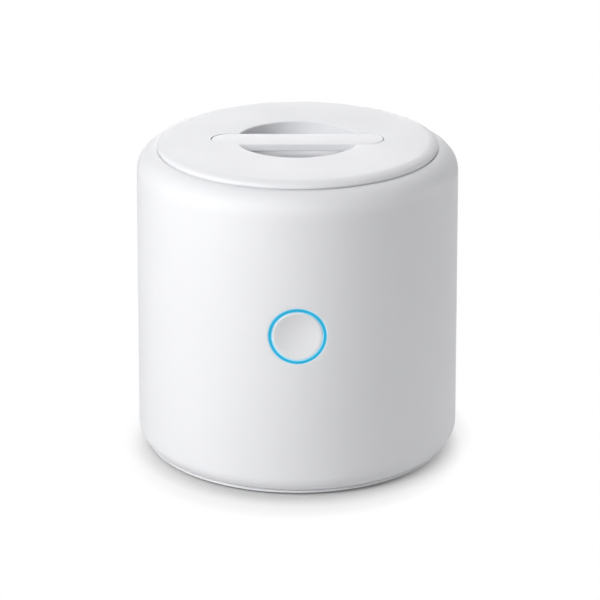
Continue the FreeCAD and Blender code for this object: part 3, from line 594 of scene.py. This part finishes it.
well_bottom = lid_top - well_depth
well_outer = well_radius + well_wall
well_under = cover_high.z + cover_gap
plate_under = lid_top - lid_plate
spigot_inner = spigot_radius - spigot_wall
crown_turn = 90 - math.degrees(math.asin((crown_width - lid_edge) / (crown_round - lid_edge)))
crown_middle = (lid_radius - crown_width, lid_top - crown_round)
lid_edge_middle = polar(crown_middle, crown_round - lid_edge, crown_turn)
groove_outer = seal_high.x + seal_clearance
groove_inner = seal_high.x - seal_width - seal_clearance
print(f"lid radius {lid_radius:.5f} m, recess {recess_radius:.5f} m")

# %% [markdown]
# The outline starts in the middle of the well, climbs its wall, crosses the top, turns down over the
# crown and the bead, and comes back under the lid to the middle.

# %% Outline of the lid
lid_outline = [(0, well_bottom), (well_radius / 2, well_bottom)]
lid_outline += arc((well_radius - well_corner, well_bottom + well_corner), well_corner, -90, 0, 12)
lid_outline += [(well_radius, bar_low.z)]
lid_outline += arc((well_radius + well_lip, lid_top - well_lip), well_lip, 180, 90, 8)
lid_outline += arc(crown_middle, crown_round, 90, crown_turn, 16)
lid_outline += arc(lid_edge_middle, lid_edge, crown_turn, 0, 10)[1:]
lid_outline += arc((lid_radius - bead_round, lid_edge_middle[1]), bead_round, 0, -90, 6)[1:]
lid_outline += [(lid_neck, lid_edge_middle[1] - bead_round)]
lid_outline += arc((lid_neck - lid_low_edge, ledge_top + lid_low_edge), lid_low_edge, 0, -90, 4)
lid_outline += [(groove_outer, ledge_top), (groove_outer, seal_high.z)]
lid_outline += [(groove_inner, seal_high.z), (groove_inner, ledge_top)]
lid_outline += [(spigot_radius, ledge_top), (spigot_radius, cover_high.z)]
lid_outline += [(spigot_inner, cover_high.z), (spigot_inner, plate_under)]
lid_outline += [(well_outer, plate_under), (well_outer, well_under), (0, well_under)]
print("points in the lid's outline:", len(lid_outline))

# %% [markdown]
# The grip bar is a pill that lies flush in a slot across the well. Under each end of the slot the lid
# is thickened by a pad that carries the bar. The pads and the small key are added first, and then one
# pill is cut out of the lot, a little larger than the bar.

# %% The lid
PILL_STEPS = 40
bar_gap = 0.26 * MM
bar_half = bar_high.y
bar_run = bar_high.x - bar_half
pad_margin = 1.5 * MM
pad_width = bar_half + pad_margin
pad_low = bar_low.z - 2.0 * MM
key_drop = 1.8 * MM
weld = 0.3 * MM


def pill_row(bm, half_run, radius, height):
    """A level loop round a pill that lies along X."""
    ends = [(half_run, turn) for turn in range(PILL_STEPS + 1)]
    ends += [(-half_run, turn) for turn in range(PILL_STEPS, 2 * PILL_STEPS + 1)]
    points = [polar((end, 0), radius, turn * 180 / PILL_STEPS - 90) for end, turn in ends]
    return [bm.verts.new((x, y, height)) for x, y in points]


bm = bmesh.new()
skin(bm, turned_rows(bm, lid_outline), False)
lid = new_piece("lid_top", bm, "lid", "lid_cover", shell_white)
bm = bmesh.new()
for side in (-1, 1):
    ends = sorted((side * (well_radius + well_wall / 2), side * (bar_high.x + pad_margin)))
    box_form(bm, (ends[0], -pad_width, pad_low), (ends[1], pad_width, plate_under + weld))
box_form(bm, (-key_half, spigot_radius - spigot_wall / 2, ledge_top - key_drop),
         (key_half, opening_radius + key_reach, ledge_top + weld))
shape_with(lid, bm, "UNION")
bm = bmesh.new()
slot_levels = (bar_low.z, lid_top + OVERCUT)
slot_rows = [pill_row(bm, bar_run, bar_half + bar_gap, height) for height in slot_levels]
skin(bm, slot_rows, False)
for row in slot_rows:
    bm.faces.new(row)
shape_with(lid, bm)

# %% [markdown]
# The bar's own edges are rounded all round, because fingers hook under it. Each row of the round is a
# pill again, drawn in by a little less than the one before.

# %% The grip bar
BAR_EDGE_STEPS = 6
bar_edge = 0.5 * MM

bm = bmesh.new()
steps = edge_steps(bar_edge, BAR_EDGE_STEPS)
rows = [pill_row(bm, bar_run, bar_half - inset, bar_low.z + depth) for inset, depth in steps]
rows += [pill_row(bm, bar_run, bar_half - inset, bar_high.z - depth) for inset, depth in reversed(steps)]
skin(bm, rows, False)
bm.faces.new(rows[0])
bm.faces.new(rows[-1])
new_piece("grip_pill", bm, "lid", "grip_bar", grip_white)

# %% [markdown]
# The base plate closes the drum from below and shows as a thin bright rim under a dark shadow line.
# Its levels come from the frame. The feet, the screws and the posts stand where the solids have them.

# %% Sizes of the base
base_low, base_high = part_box("base_cover")
rim_radius = base_high.x
rim_top = base_low.z + 1.1 * MM
rim_edge = 0.25 * MM
step_radius = mouth_radius - 0.5 * MM
base_floor = base_low.z + 2.4 * MM
base_screw_circle = mouth_radius - 4.4 * MM
base_screw_angles = (12, 168, 192, 348)
foot_circle = mouth_radius - 11.4 * MM
foot_angles = (45, 135, 225, 315)
foot_radius = 5.0 * MM
foot_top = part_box("rubber_feet")[1].z
foot_fit = 0.1 * MM
head_pocket = 3.0 * MM
head_seat = base_low.z + 2.2 * MM
screw_pad_radius = 3.8 * MM
screw_pad_top = base_floor + 1.8 * MM
post_radius = 3.0 * MM
post_places = ((22.0, 27.55), (-22.0, 27.55), (19.0, 43.5), (-19.0, 43.5))

base_screw_places = [polar((0, 0), base_screw_circle, angle) for angle in base_screw_angles]
foot_places = [polar((0, 0), foot_circle, angle) for angle in foot_angles]
print("feet and posts on the base:", len(foot_places), len(post_places))

# %% [markdown]
# The plate is turned like the lid. The posts and pads that carry the boards are added to it, and the
# pockets for the feet and the screw heads are cut from its underside.

# %% The base plate
base_outline = [(0, base_low.z), (rim_radius / 2, base_low.z)]
base_outline += arc((rim_radius - rim_edge, base_low.z + rim_edge), rim_edge, -90, 0, 5)
base_outline += arc((rim_radius - rim_edge, rim_top - rim_edge), rim_edge, 0, 90, 5)
base_outline += [(step_radius, rim_top), (step_radius, base_floor), (0, base_floor)]

bm = bmesh.new()
skin(bm, turned_rows(bm, base_outline), False)
base = new_piece("base_plate", bm, "housing", "base_cover", shell_white)
bm = bmesh.new()
for place in base_screw_places:
    disc_form(bm, place, screw_pad_radius, base_floor - OVERCUT, screw_pad_top)
for x, y in post_places:
    disc_form(bm, (x * MM, y * MM), post_radius, base_floor - OVERCUT, base_high.z)
shape_with(base, bm, "UNION")
bm = bmesh.new()
for place in base_screw_places:
    disc_form(bm, place, head_pocket, base_low.z - OVERCUT, head_seat)
for place in foot_places:
    disc_form(bm, place, foot_radius + foot_fit, base_low.z - OVERCUT, foot_top)
shape_with(base, bm)

# %% [markdown]
# Four grey rubber feet are pressed into their pockets and carry the whole object. Rubber is matt, a
# little dusty, and its lower edge is rounded from the mould.

# %% The feet
FOOT_TURNS = 72
foot_edge_round = 0.5 * MM

rubber = Finish("foot_rubber", Specular_IOR_Level=0.3)
rubber.dress(((0.075, 0.076, 0.078), (0.105, 0.106, 0.108)), (260.0, 4.0), (0.62, 0.8), (420.0, 3.0))
rubber.bump(rubber.noise(1800.0, 4.0), 0.02 * MM)

pad_outline = [(0, 0), (foot_radius / 2, 0)]
pad_outline += arc((foot_radius - foot_edge_round, foot_edge_round), foot_edge_round, -90, 0, 6)
pad_outline += [(foot_radius, foot_top), (0, foot_top)]
bm = bmesh.new()
for place in foot_places:
    skin(bm, turned_rows(bm, pad_outline, FOOT_TURNS, place), False)
new_piece("foot_pads", bm, "housing", "rubber_feet", rubber.material)

# %% [markdown]
# Screws show in two places: up in the base, and under the lid. Both kinds have a round head with a
# cross recess. The recess is one more ring of vertices, whose radius follows a cross instead of a
# circle, carried down to a smaller cross at its floor. The head faces down on both.

# %% Form of a screw
SCREW_TURNS = 96
HEAD_ROUND = 0.3
HEAD_FACE = 0.72
RECESS_DEPTH = 0.65
ARM_REACH = 0.58
ARM_HALF = 0.14
FLOOR_REACH = 0.7
FLOOR_WIDTH = 0.8
TIP_POINT = 0.3
TINY = 1e-6


def cross_radius(turn, reach, half_width):
    """How far a cross with arms of this reach extends in one direction."""
    along, across = abs(math.cos(turn)), abs(math.sin(turn))
    arms = []
    for run, aside in ((along, across), (across, along)):
        arms.append(min(reach / max(run, TINY), half_width / max(aside, TINY)))
    return max(arms)


def screw_form(bm, place, seat, head, tip):
    """A screw with its head down. The head gives its radius, its height and the shank's radius."""
    head_radius, head_height, shank_radius = head
    edge = HEAD_ROUND * head_height
    face = seat - head_height
    floor = face + RECESS_DEPTH * head_height
    arm = ARM_REACH * head_radius
    half_arm = ARM_HALF * head_radius
    outline = [(0, tip - TIP_POINT * shank_radius), (shank_radius, tip)]
    outline += [(shank_radius, seat), (head_radius, seat)]
    outline += arc((head_radius - edge, face + edge), edge, 0, -90, 6)
    outline += [(HEAD_FACE * head_radius, face)]
    outline += [(lambda turn: cross_radius(turn, arm, half_arm), face)]
    outline += [(lambda turn: cross_radius(turn, FLOOR_REACH * arm, FLOOR_WIDTH * half_arm), floor)]
    outline += [(0, floor)]
    skin(bm, turned_rows(bm, outline, SCREW_TURNS, place), False)


print("vertices round a screw:", SCREW_TURNS)

# %% [markdown]
# The screws are zinc-plated steel: bright, a little uneven in tone, and finely pitted. Those under the
# lid are a size smaller than those in the base.

# %% The screws
base_head = (2.75 * MM, 1.6 * MM, 1.4 * MM)
cover_head = (2.2 * MM, 1.2 * MM, 1.1 * MM)
cover_screw_circle = spigot_radius - 8.6 * MM
cover_screw_seat = cover_low.z + 1.2 * MM
cover_screw_places = [polar((0, 0), cover_screw_circle, angle) for angle in foot_angles]

zinc = Finish("screw_zinc", Metallic=1.0)
zinc.dress(((0.50, 0.51, 0.53), (0.62, 0.63, 0.64)), (900.0, 3.0), (0.22, 0.36), (1500.0, 3.0))
zinc.bump(zinc.noise(5000.0, 2.0), 0.004 * MM)

bm = bmesh.new()
for place in base_screw_places:
    screw_form(bm, place, head_seat, base_head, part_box("base_screws")[1].z)
new_piece("base_screw_heads", bm, "housing", "base_screws", zinc.material)
bm = bmesh.new()
for place in cover_screw_places:
    screw_form(bm, place, cover_screw_seat, cover_head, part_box("lid_inner_screws")[1].z)
new_piece("lid_screw_heads", bm, "lid", "lid_inner_screws", zinc.material)

# %% [markdown]
# The button sits in the round wall, so a flat disc would stand proud at its sides. Each ring of vertices
# is therefore laid on the wall itself, at a depth below its face, until the form reaches the flat layers
# behind it. One helper makes both kinds of ring, for the cap and for the light.

# %% Rings in the wall
RING_TURNS = 128
stem_length = 0.9 * MM
collar_thickness = 1.2 * MM
collar_gap = 0.1 * MM
flange_thickness = 1.2 * MM


def facing_ring(bm, radius, depth=None, distance=None):
    """A ring round the button's line: sunk below the wall's face, or flat at a distance from the axis."""
    count = 1 if radius == 0 else RING_TURNS
    turns = [2 * math.pi * column / count for column in range(count)]
    points = [(radius * math.cos(turn), radius * math.sin(turn)) for turn in turns]
    if distance is None:
        return wall_loop(bm, points, button_level, -1, 0.0, depth)
    return [bm.verts.new((x, -distance, button_level + rise)) for x, rise in points]


stem_tip = -button_high.y
collar_back = stem_tip + stem_length
collar_front = collar_back + collar_thickness
flange_back = collar_front + collar_gap
flange_front = flange_back + flange_thickness
skirt_tip = -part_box("light_ring")[1].y
print(f"layers behind the button, from the axis: {stem_tip:.4f} {collar_front:.4f} {flange_front:.4f} m")

# %% [markdown]
# The cap is a shallow dish for a fingertip, with a narrow flat land round it. A dish could be carved by
# a sphere, but the wall is already curved, so a sphere's edge would wander. Here the depth is added to
# the wall ring by ring, and the dish is even all the way round. A collar behind it keeps the cap in.

# %% The button's cap
DISH_STEPS = 14
cap_radius = 8.95 * MM
cap_edge = 0.25 * MM
dish_radius = 8.4 * MM
dish_depth = 1.4 * MM
collar_radius = 10.7 * MM
stem_radius = 2.5 * MM

bm = bmesh.new()
rings = [facing_ring(bm, 0, depth=dish_depth)]
for step in range(1, DISH_STEPS + 1):
    part = step / DISH_STEPS
    rings.append(facing_ring(bm, dish_radius * part, depth=dish_depth * (1 - part ** 2)))
for inset, depth in edge_steps(cap_edge):
    rings.append(facing_ring(bm, cap_radius - inset, depth=depth))
layers = [(cap_radius, collar_front), (collar_radius, collar_front), (collar_radius, collar_back)]
layers += [(stem_radius, collar_back), (stem_radius, stem_tip), (0, stem_tip)]
rings += [facing_ring(bm, radius, distance=distance) for radius, distance in layers]
skin(bm, rings, False)
new_piece("button_dish", bm, "button", "button_cap", button_white)

# %% [markdown]
# The light ring is the front of a clear guide that is lit from behind by six small lamps, so it glows
# almost evenly and pales towards both edges, where its light leaks out. Emission does the glowing. Its
# strength stays near 1, where a colour shows as it is written: more would burn it out to white.

# %% Glow of the ring
ring_inner = 9.2 * MM
ring_middle = (ring_inner + ring_outer) / 2
pale_start = 0.36 * MM
pale_end = 0.66 * MM

glow = Finish("ring_glow", Roughness=0.35, IOR=1.5, Specular_IOR_Level=0.25)
glow.feed("Base Color", glow.tint(glow.noise(300.0), (0.006, 0.03, 0.045), (0.009, 0.04, 0.055)))
places = glow.add("ShaderNodeSeparateXYZ", {"Vector": glow.place}).outputs
face = glow.add("ShaderNodeCombineXYZ", {"X": places["X"], "Z": places["Z"]}).outputs["Vector"]
away = glow.add("ShaderNodeVectorMath", {0: face, 1: (0, 0, button_level)}, operation="DISTANCE")
aside = glow.maths("ABSOLUTE", glow.maths("SUBTRACT", away.outputs["Value"], ring_middle))
fade = glow.ramp(aside, pale_start, pale_end)
glow.feed("Emission Color", glow.tint(fade, (0.002, 0.37, 0.61), (0.35, 0.72, 0.92), 0.0, 1.0))
glow.feed("Emission Strength", glow.span(glow.noise(160.0, 1.0), 0.95, 1.05))
glow.bump(glow.noise(1500.0), 0.003 * MM)
print("nodes in the ring's glow:", len(glow.nodes))

# %% [markdown]
# The ring's face follows the wall, with a small round at both edges. Behind the wall it widens into a
# flange and a skirt that reaches back to the lamps, so the mesh is one closed loop of rings.

# %% The light ring
ring_edge = 0.15 * MM
flange_radius = 12.6 * MM
skirt_wall = 1.4 * MM
skirt_inner = flange_radius - skirt_wall

bm = bmesh.new()
steps = edge_steps(ring_edge)
rings = [facing_ring(bm, ring_inner + inset, depth=depth) for inset, depth in reversed(steps)]
rings += [facing_ring(bm, ring_outer - inset, depth=depth) for inset, depth in steps]
layers = [(ring_outer, flange_front), (flange_radius, flange_front), (flange_radius, skirt_tip)]
layers += [(skirt_inner, skirt_tip), (skirt_inner, flange_back), (ring_inner, flange_back)]
rings += [facing_ring(bm, radius, distance=distance) for radius, distance in layers]
skin(bm, rings)
new_piece("ring_light", bm, "housing", "light_ring", glow.material)

# %% [markdown]
# The charging socket at the back is a stamped steel sleeve with round ends. It is built from pill loops,
# like the bar, but the loops stand upright and go in towards the axis.

# %% The socket's sleeve
socket_round = (socket_high.z - socket_low.z) / 2
socket_run = socket_high.x - socket_round
sleeve_metal = 0.32 * MM
inner_round = socket_round - sleeve_metal
lead_in = 0.1 * MM
cavity_depth = 6.2 * MM
mouth = socket_high.y
tongue_root = mouth - cavity_depth

sleeve_steel = Finish("socket_steel", Metallic=1.0)
sleeve_steel.dress(((0.56, 0.56, 0.57), (0.66, 0.66, 0.67)), (700.0, 2.0), (0.2, 0.34), (1400.0, 3.0))


def sleeve_row(bm, radius, y):
    loop = pill_row(bm, socket_run, radius, 0.0)
    for corner in loop:
        corner.co = (corner.co.x, y, port_level + corner.co.y)
    return loop


bm = bmesh.new()
profile = [(socket_round, socket_low.y), (socket_round, mouth - lead_in), (socket_round - lead_in, mouth)]
profile += [(inner_round + lead_in, mouth), (inner_round, mouth - lead_in), (inner_round, tongue_root)]
loops = [sleeve_row(bm, radius, y) for radius, y in profile]
skin(bm, loops, False)
bm.faces.new(loops[0])
bm.faces.new(loops[-1])
new_piece("socket_sleeve", bm, "housing", "usb_socket", sleeve_steel.material)

# %% [markdown]
# Inside the sleeve stands a dark tongue that carries two rows of gold contacts. The contacts lie proud
# of it by a few hundredths of a millimetre, which is enough to catch the light.

# %% Tongue and contacts
CONTACTS = 12
contact_pitch = 0.5 * MM
contact_inset = 0.3 * MM
contact_width, contact_length, contact_height = 0.26 * MM, 3.2 * MM, 0.03 * MM
tongue_width, tongue_length, tongue_height = 6.7 * MM, 4.7 * MM, 0.7 * MM
tongue_seat = 0.2 * MM
tongue_edge = 0.08 * MM
half_tongue = tongue_height / 2
tongue_tip = tongue_root + tongue_length
contact_tip = tongue_tip - contact_inset

tongue_plastic = Finish("socket_tongue", IOR=1.5)
tongue_plastic.dress(((0.012, 0.012, 0.013), (0.02, 0.02, 0.021)), (900.0, 2.0), (0.4, 0.55), (1600.0, 2.0))
contact_gold = Finish("socket_gold", Metallic=1.0)
contact_gold.dress(((0.78, 0.52, 0.2), (0.86, 0.6, 0.26)), (2500.0, 2.0), (0.18, 0.3), (3000.0, 2.0))

bm = bmesh.new()
box_form(bm, (-tongue_width / 2, tongue_root - tongue_seat, port_level - half_tongue),
         (tongue_width / 2, tongue_tip, port_level + half_tongue))
bmesh.ops.bevel(bm, geom=bm.edges[:], offset=tongue_edge, segments=3, affect="EDGES")
new_piece("socket_tongue", bm, "housing", None, tongue_plastic.material)
bm = bmesh.new()
for index in range(CONTACTS):
    x = (index - (CONTACTS - 1) / 2) * contact_pitch
    for side in (-1, 1):
        faces = sorted((side * half_tongue, side * (half_tongue + contact_height)))
        box_form(bm, (x - contact_width / 2, contact_tip - contact_length, port_level + faces[0]),
                 (x + contact_width / 2, contact_tip, port_level + faces[1]))
new_piece("socket_contacts", bm, "housing", None, contact_gold.material)

# %% [markdown]
# With the lid lifted, the chamber shows. The liner is a cup of drawn steel, polished while it turned,
# so its fine lines run round the axis: level on the wall, in circles on the floor. Noise that depends
# only on radius and height gives such lines. The rack is flat sheet and gets a finer, freer grain.

# %% Steel
def turned_steel(name, dark, bright, lines, roughness):
    finish = Finish(name, Metallic=1.0)
    parts = finish.add("ShaderNodeSeparateXYZ", {"Vector": finish.place}).outputs
    flat = finish.add("ShaderNodeCombineXYZ", {"X": parts["X"], "Y": parts["Y"]}).outputs["Vector"]
    radius = finish.add("ShaderNodeVectorMath", {0: flat}, operation="LENGTH").outputs["Value"]
    round_axis = finish.add("ShaderNodeCombineXYZ", {"X": radius, "Z": parts["Z"]}).outputs["Vector"]
    grain = finish.noise(lines, 3.0, round_axis)
    finish.feed("Base Color", finish.tint(finish.noise(35.0, 3.0), dark, bright))
    finish.feed("Roughness", finish.span(grain, roughness - 0.05, roughness + 0.08))
    finish.bump(grain, 0.004 * MM)
    return finish.material


def sheet_steel(name, dark, bright, grain, roughness):
    finish = Finish(name, Metallic=1.0)
    finish.dress((dark, bright), (90.0, 3.0), (roughness - 0.05, roughness + 0.06), (grain, 4.0))
    finish.bump(finish.noise(2 * grain, 3.0), 0.003 * MM)
    return finish.material


liner_steel = turned_steel("liner_steel_lines", (0.60, 0.61, 0.62), (0.68, 0.69, 0.70), 1400.0, 0.2)
rack_steel = sheet_steel("rack_steel_sheet", (0.62, 0.62, 0.63), (0.70, 0.70, 0.71), 700.0, 0.22)
aluminium = sheet_steel("sink_metal", (0.58, 0.59, 0.60), (0.68, 0.69, 0.70), 900.0, 0.4)
nickel = sheet_steel("magnet_plating", (0.66, 0.64, 0.60), (0.74, 0.72, 0.68), 600.0, 0.12)
print("metal finishes:", liner_steel.name, rack_steel.name, aluminium.name, nickel.name)

# %% [markdown]
# Quartz is clear and hard, so it gets full transmission, quartz's own index and only a trace of haze.
# Silicone seals are milky: soft, pale and a little waxy. The rest of the insides are plain parts in
# plain plastics, each with its own grain: boards under solder mask, moulded packages, shrink wrap.

# %% Quartz, silicone and plain parts
quartz = Finish("quartz_clear", Transmission_Weight=1.0, IOR=1.46)
quartz.dress(((0.97, 0.985, 0.99), (0.99, 0.995, 1.0)), (60.0, 2.0), (0.0, 0.03), (200.0, 3.0))

silicone = Finish("seal_silicone_milky", Subsurface_Weight=0.25, Subsurface_Scale=0.0015, IOR=1.41)
silicone.dress(((0.60, 0.61, 0.62), (0.66, 0.67, 0.68)), (300.0, 2.0), (0.45, 0.6), (800.0, 3.0))
silicone.bump(silicone.noise(2500.0, 2.0), 0.006 * MM)


def plain_part(name, dark, bright, grain, roughness):
    """A moulded or coated inner part: two near tones, a fine grain and an even gloss."""
    finish = Finish(name, IOR=1.5)
    finish.dress((dark, bright), (grain, 3.0), (roughness - 0.06, roughness + 0.06), (2 * grain, 2.0))
    finish.bump(finish.noise(4 * grain, 2.0), 0.01 * MM)
    return finish.material


print("finishes for window and seals:", quartz.material.name, silicone.material.name)

# %% [markdown]
# The solids that were not rebuilt keep their CAD mesh. Each of them names a material slot in its
# record, so one table from slot to finish dresses them all.

# %% Dressing the other solids
slot_finish = {
    "white_inner": inner_white,
    "seal_silicone": silicone.material,
    "liner_steel": liner_steel,
    "rack_steel": rack_steel,
    "screw_steel": zinc.material,
    "quartz": quartz.material,
    "sink_aluminium": aluminium,
    "magnet_nickel": nickel,
    "frame_plastic": plain_part(
        "frame_plastic_dark", (0.045, 0.047, 0.05), (0.06, 0.062, 0.066), 300.0, 0.5),
    "circuit_board": plain_part("solder_mask", (0.008, 0.055, 0.025), (0.014, 0.085, 0.04), 500.0, 0.35),
    "lamp_board": plain_part("lamp_board_white", (0.66, 0.67, 0.67), (0.74, 0.75, 0.75), 400.0, 0.4),
    "chip_black": plain_part("package_black", (0.012, 0.012, 0.014), (0.02, 0.02, 0.022), 900.0, 0.55),
    "plug_plastic": plain_part("plug_nylon", (0.58, 0.55, 0.46), (0.66, 0.63, 0.54), 700.0, 0.45),
    "led_package": plain_part("led_ceramic", (0.62, 0.62, 0.52), (0.74, 0.74, 0.64), 1200.0, 0.35),
    "cell_wrap": plain_part("cell_wrap_blue", (0.025, 0.10, 0.26), (0.04, 0.13, 0.31), 120.0, 0.28),
    "lead_sheath": plain_part("lead_rubber", (0.012, 0.012, 0.013), (0.022, 0.022, 0.024), 900.0, 0.6),
    "plunger_plastic": plain_part(
        "plunger_dark", (0.014, 0.014, 0.016), (0.024, 0.024, 0.026), 900.0, 0.45),
}
node_slots = {part["node"]: part["material_slot"] for part in frame["record"]["subparts"]}
dressed = [name for name, node in frame["nodes"].items() if not node.hide_render]
for name in dressed:
    frame["nodes"][name].data.materials.clear()
    frame["nodes"][name].data.materials.append(slot_finish[node_slots[name]])
print("CAD nodes dressed as they are:", len(dressed))

# %% [markdown]
# The stage is a plain pale floor in a white room. A studio photograph on white is exposed until the
# background is just white. Turning up the lamps would burn out the object, so the floor shows a white
# of its own to the camera, mirrors and glass. That white grows with distance from a point a little in
# front of the object. It paints out the real shadow beyond a ring, so the edge of the shadow at the
# foot is painted, while the shadow inside the ring is real. A small even share of the white paints
# that shadow lighter, and close to the object the seen floor is darkened by nearness, which is painted
# shade. Light that bounces softly meets plain pale paper instead.

# %% The floor
FLOOR_HALF = 6.0
FLOOR_WHITE = 0.85
BOUNCE_WHITE = 0.9
# Painted shade: how far the darkening by nearness reaches, how dark it gets, and how much of the floor's
# white it holds back.
PAINTED_SHADE_REACH = 9.0 * MM
PAINTED_CONTACT_SHADE = 0.42
PAINTED_CONTACT_LIFT = 0.5
# Painted light: the least share of the floor's white, laid evenly over the shadow too.
PAINTED_LIGHT_IN_SHADOW = 0.08
# The ring beyond which the floor's white paints out the real shadow, round a point a little in front of the
# object: the painted edge of the shadow.
SHADOW_MIDDLE = (-1.5 * MM, -14.0 * MM, 0.0)
SHADOW_INNER = 46.0 * MM
SHADOW_OUTER = 64.0 * MM


def seen_directly(tree):
    """1 for rays from the camera, a mirror or glass, and 0 for light that bounces softly."""
    path = tree.nodes.new("ShaderNodeLightPath").outputs
    total = path["Is Camera Ray"]
    for name in ("Is Glossy Ray", "Is Transmission Ray"):
        larger = tree.nodes.new("ShaderNodeMath")
        larger.operation = "MAXIMUM"
        tree.links.new(total, larger.inputs[0])
        tree.links.new(path[name], larger.inputs[1])
        total = larger.outputs["Value"]
    return total


paper = Finish("floor_paper", Roughness=0.9, Specular_IOR_Level=0.1)
tree = paper.material.node_tree
seen = seen_directly(tree)
# Painted shade: ambient occlusion darkens the floor's seen colour near the object.
painted_shade_nearness = paper.add("ShaderNodeAmbientOcclusion", {"Distance": PAINTED_SHADE_REACH}, samples=16).outputs["AO"]
shade = paper.maths("MULTIPLY", painted_shade_nearness, paper.span(paper.noise(3.0), 0.99, 1.0))
shaded = paper.tint(shade, (PAINTED_CONTACT_SHADE * FLOOR_WHITE,) * 3, (FLOOR_WHITE,) * 3, 0.0, 1.0)
bounced = (BOUNCE_WHITE, BOUNCE_WHITE, BOUNCE_WHITE, 1)
white = paper.add("ShaderNodeMixRGB", {"Fac": seen, "Color1": bounced, "Color2": shaded})
paper.feed("Base Color", white.outputs["Color"])
# The white grows past a painted shadow edge. Near the object it is held back as more painted shade, and it
# never drops below a small painted lift.
away = paper.add("ShaderNodeVectorMath", {0: paper.place, 1: SHADOW_MIDDLE}, operation="DISTANCE")
far = paper.ramp(away.outputs["Value"], SHADOW_INNER, SHADOW_OUTER)
clear = paper.maths("MULTIPLY", far, paper.ramp(painted_shade_nearness, 0.0, 1.0, PAINTED_CONTACT_LIFT))
level = paper.maths("MULTIPLY", seen, paper.ramp(clear, 0.0, 1.0, PAINTED_LIGHT_IN_SHADOW))
lift = paper.add("ShaderNodeEmission")
both = paper.add("ShaderNodeMixShader", {
    0: level, 1: paper.shader.outputs["BSDF"], 2: lift.outputs["Emission"]})
tree.links.new(both.outputs["Shader"], paper.nodes["Material Output"].inputs["Surface"])

bm = bmesh.new()
bmesh.ops.create_grid(bm, x_segments=4, y_segments=4, size=FLOOR_HALF)
floor = new_object("floor", new_mesh("floor", bm))
floor.data.materials.append(paper.material)
print("floor's own white from", PAINTED_LIGHT_IN_SHADOW, "at the object to 1 beyond", SHADOW_OUTER, "m")

# %% [markdown]
# The world does the same as the floor. The camera, mirrors and glass see a white room, and the plastic
# gets only a little even light from it, so that the lamps can shape the drum.

# %% The world
ROOM_LIGHT = 0.06

world = bpy.data.worlds.new("white_room")
bpy.context.scene.world = world
world.use_nodes = True
sky = world.node_tree.nodes["Background"]
sky.inputs["Color"].default_value = (1.0, 1.0, 1.0, 1)
sky_level = world.node_tree.nodes.new("ShaderNodeMapRange")
sky_level.inputs["To Min"].default_value = ROOM_LIGHT
sky_level.inputs["To Max"].default_value = 1.0
world.node_tree.links.new(seen_directly(world.node_tree), sky_level.inputs["Value"])
world.node_tree.links.new(sky_level.outputs["Result"], sky.inputs["Strength"])
print("even light from the room:", ROOM_LIGHT)

# %% [markdown]
# Five soft boxes light the object. Two at the front left, one low and one high, give the drum its
# bright side and light the lid. A low strip at the right keeps the far side from going grey, and two at
# the back light the rear. Area lamps are used because their softness is their real size.

# %% Lamps
AIM = Vector((0, 0, 0.055))
LAMP_DISTANCE = 0.9


def soft_box(name, azimuth, elevation, width, height, power):
    """A soft box that faces the object. Azimuth 0 is the front, and it grows towards +X."""
    turn, rise = math.radians(azimuth), math.radians(elevation)
    away = Vector((math.sin(turn) * math.cos(rise), -math.cos(turn) * math.cos(rise), math.sin(rise)))
    data = bpy.data.lights.new(name, "AREA")
    data.shape = "RECTANGLE"
    data.size = width
    data.size_y = height
    data.energy = power
    lamp = new_object(name, data)
    lamp.location = AIM + away * LAMP_DISTANCE
    lamp.rotation_euler = away.to_track_quat("Z", "Y").to_euler()
    print(f"{name}: {power} W from {azimuth} degrees, {elevation} up")


soft_box("left_box", -60, 24, 0.4, 0.4, 3.24)
soft_box("high_front_box", -30, 48, 0.45, 0.45, 4.27)
soft_box("right_box", 100, 3, 0.45, 0.2, 2.36)
soft_box("back_box", 180, 12, 0.4, 0.45, 2.02)
soft_box("high_back_box", 180, 48, 0.45, 0.45, 2.1)

# %% [markdown]
# The camera stands in front and a little above, far off with a long lens, which is how such objects
# are shot: the drum's sides stay nearly straight. Distance, height and lens were found together from
# the curves of the lid, the well and the base, and a small shift sets the object in the frame.

# %% Camera
camera_elevation = math.radians(20.955)
camera_distance = 0.9684
camera_aim = Vector((0, 0, 0.0508))
camera_away = Vector((0, -math.cos(camera_elevation), math.sin(camera_elevation)))

camera_data = bpy.data.cameras.new("camera")
camera_data.sensor_width = 36.0
camera_data.lens = 154.1
camera_data.shift_x = 0.00425
camera_data.shift_y = 0.0129
camera_data.clip_start = 0.01
camera = new_object("camera", camera_data)
camera.location = camera_aim + camera_away * camera_distance
camera.rotation_euler = camera_away.to_track_quat("Z", "Y").to_euler()
bpy.context.scene.camera = camera
bpy.context.scene.view_settings.view_transform = "Standard"
print("camera at", tuple(round(part, 4) for part in camera.location))
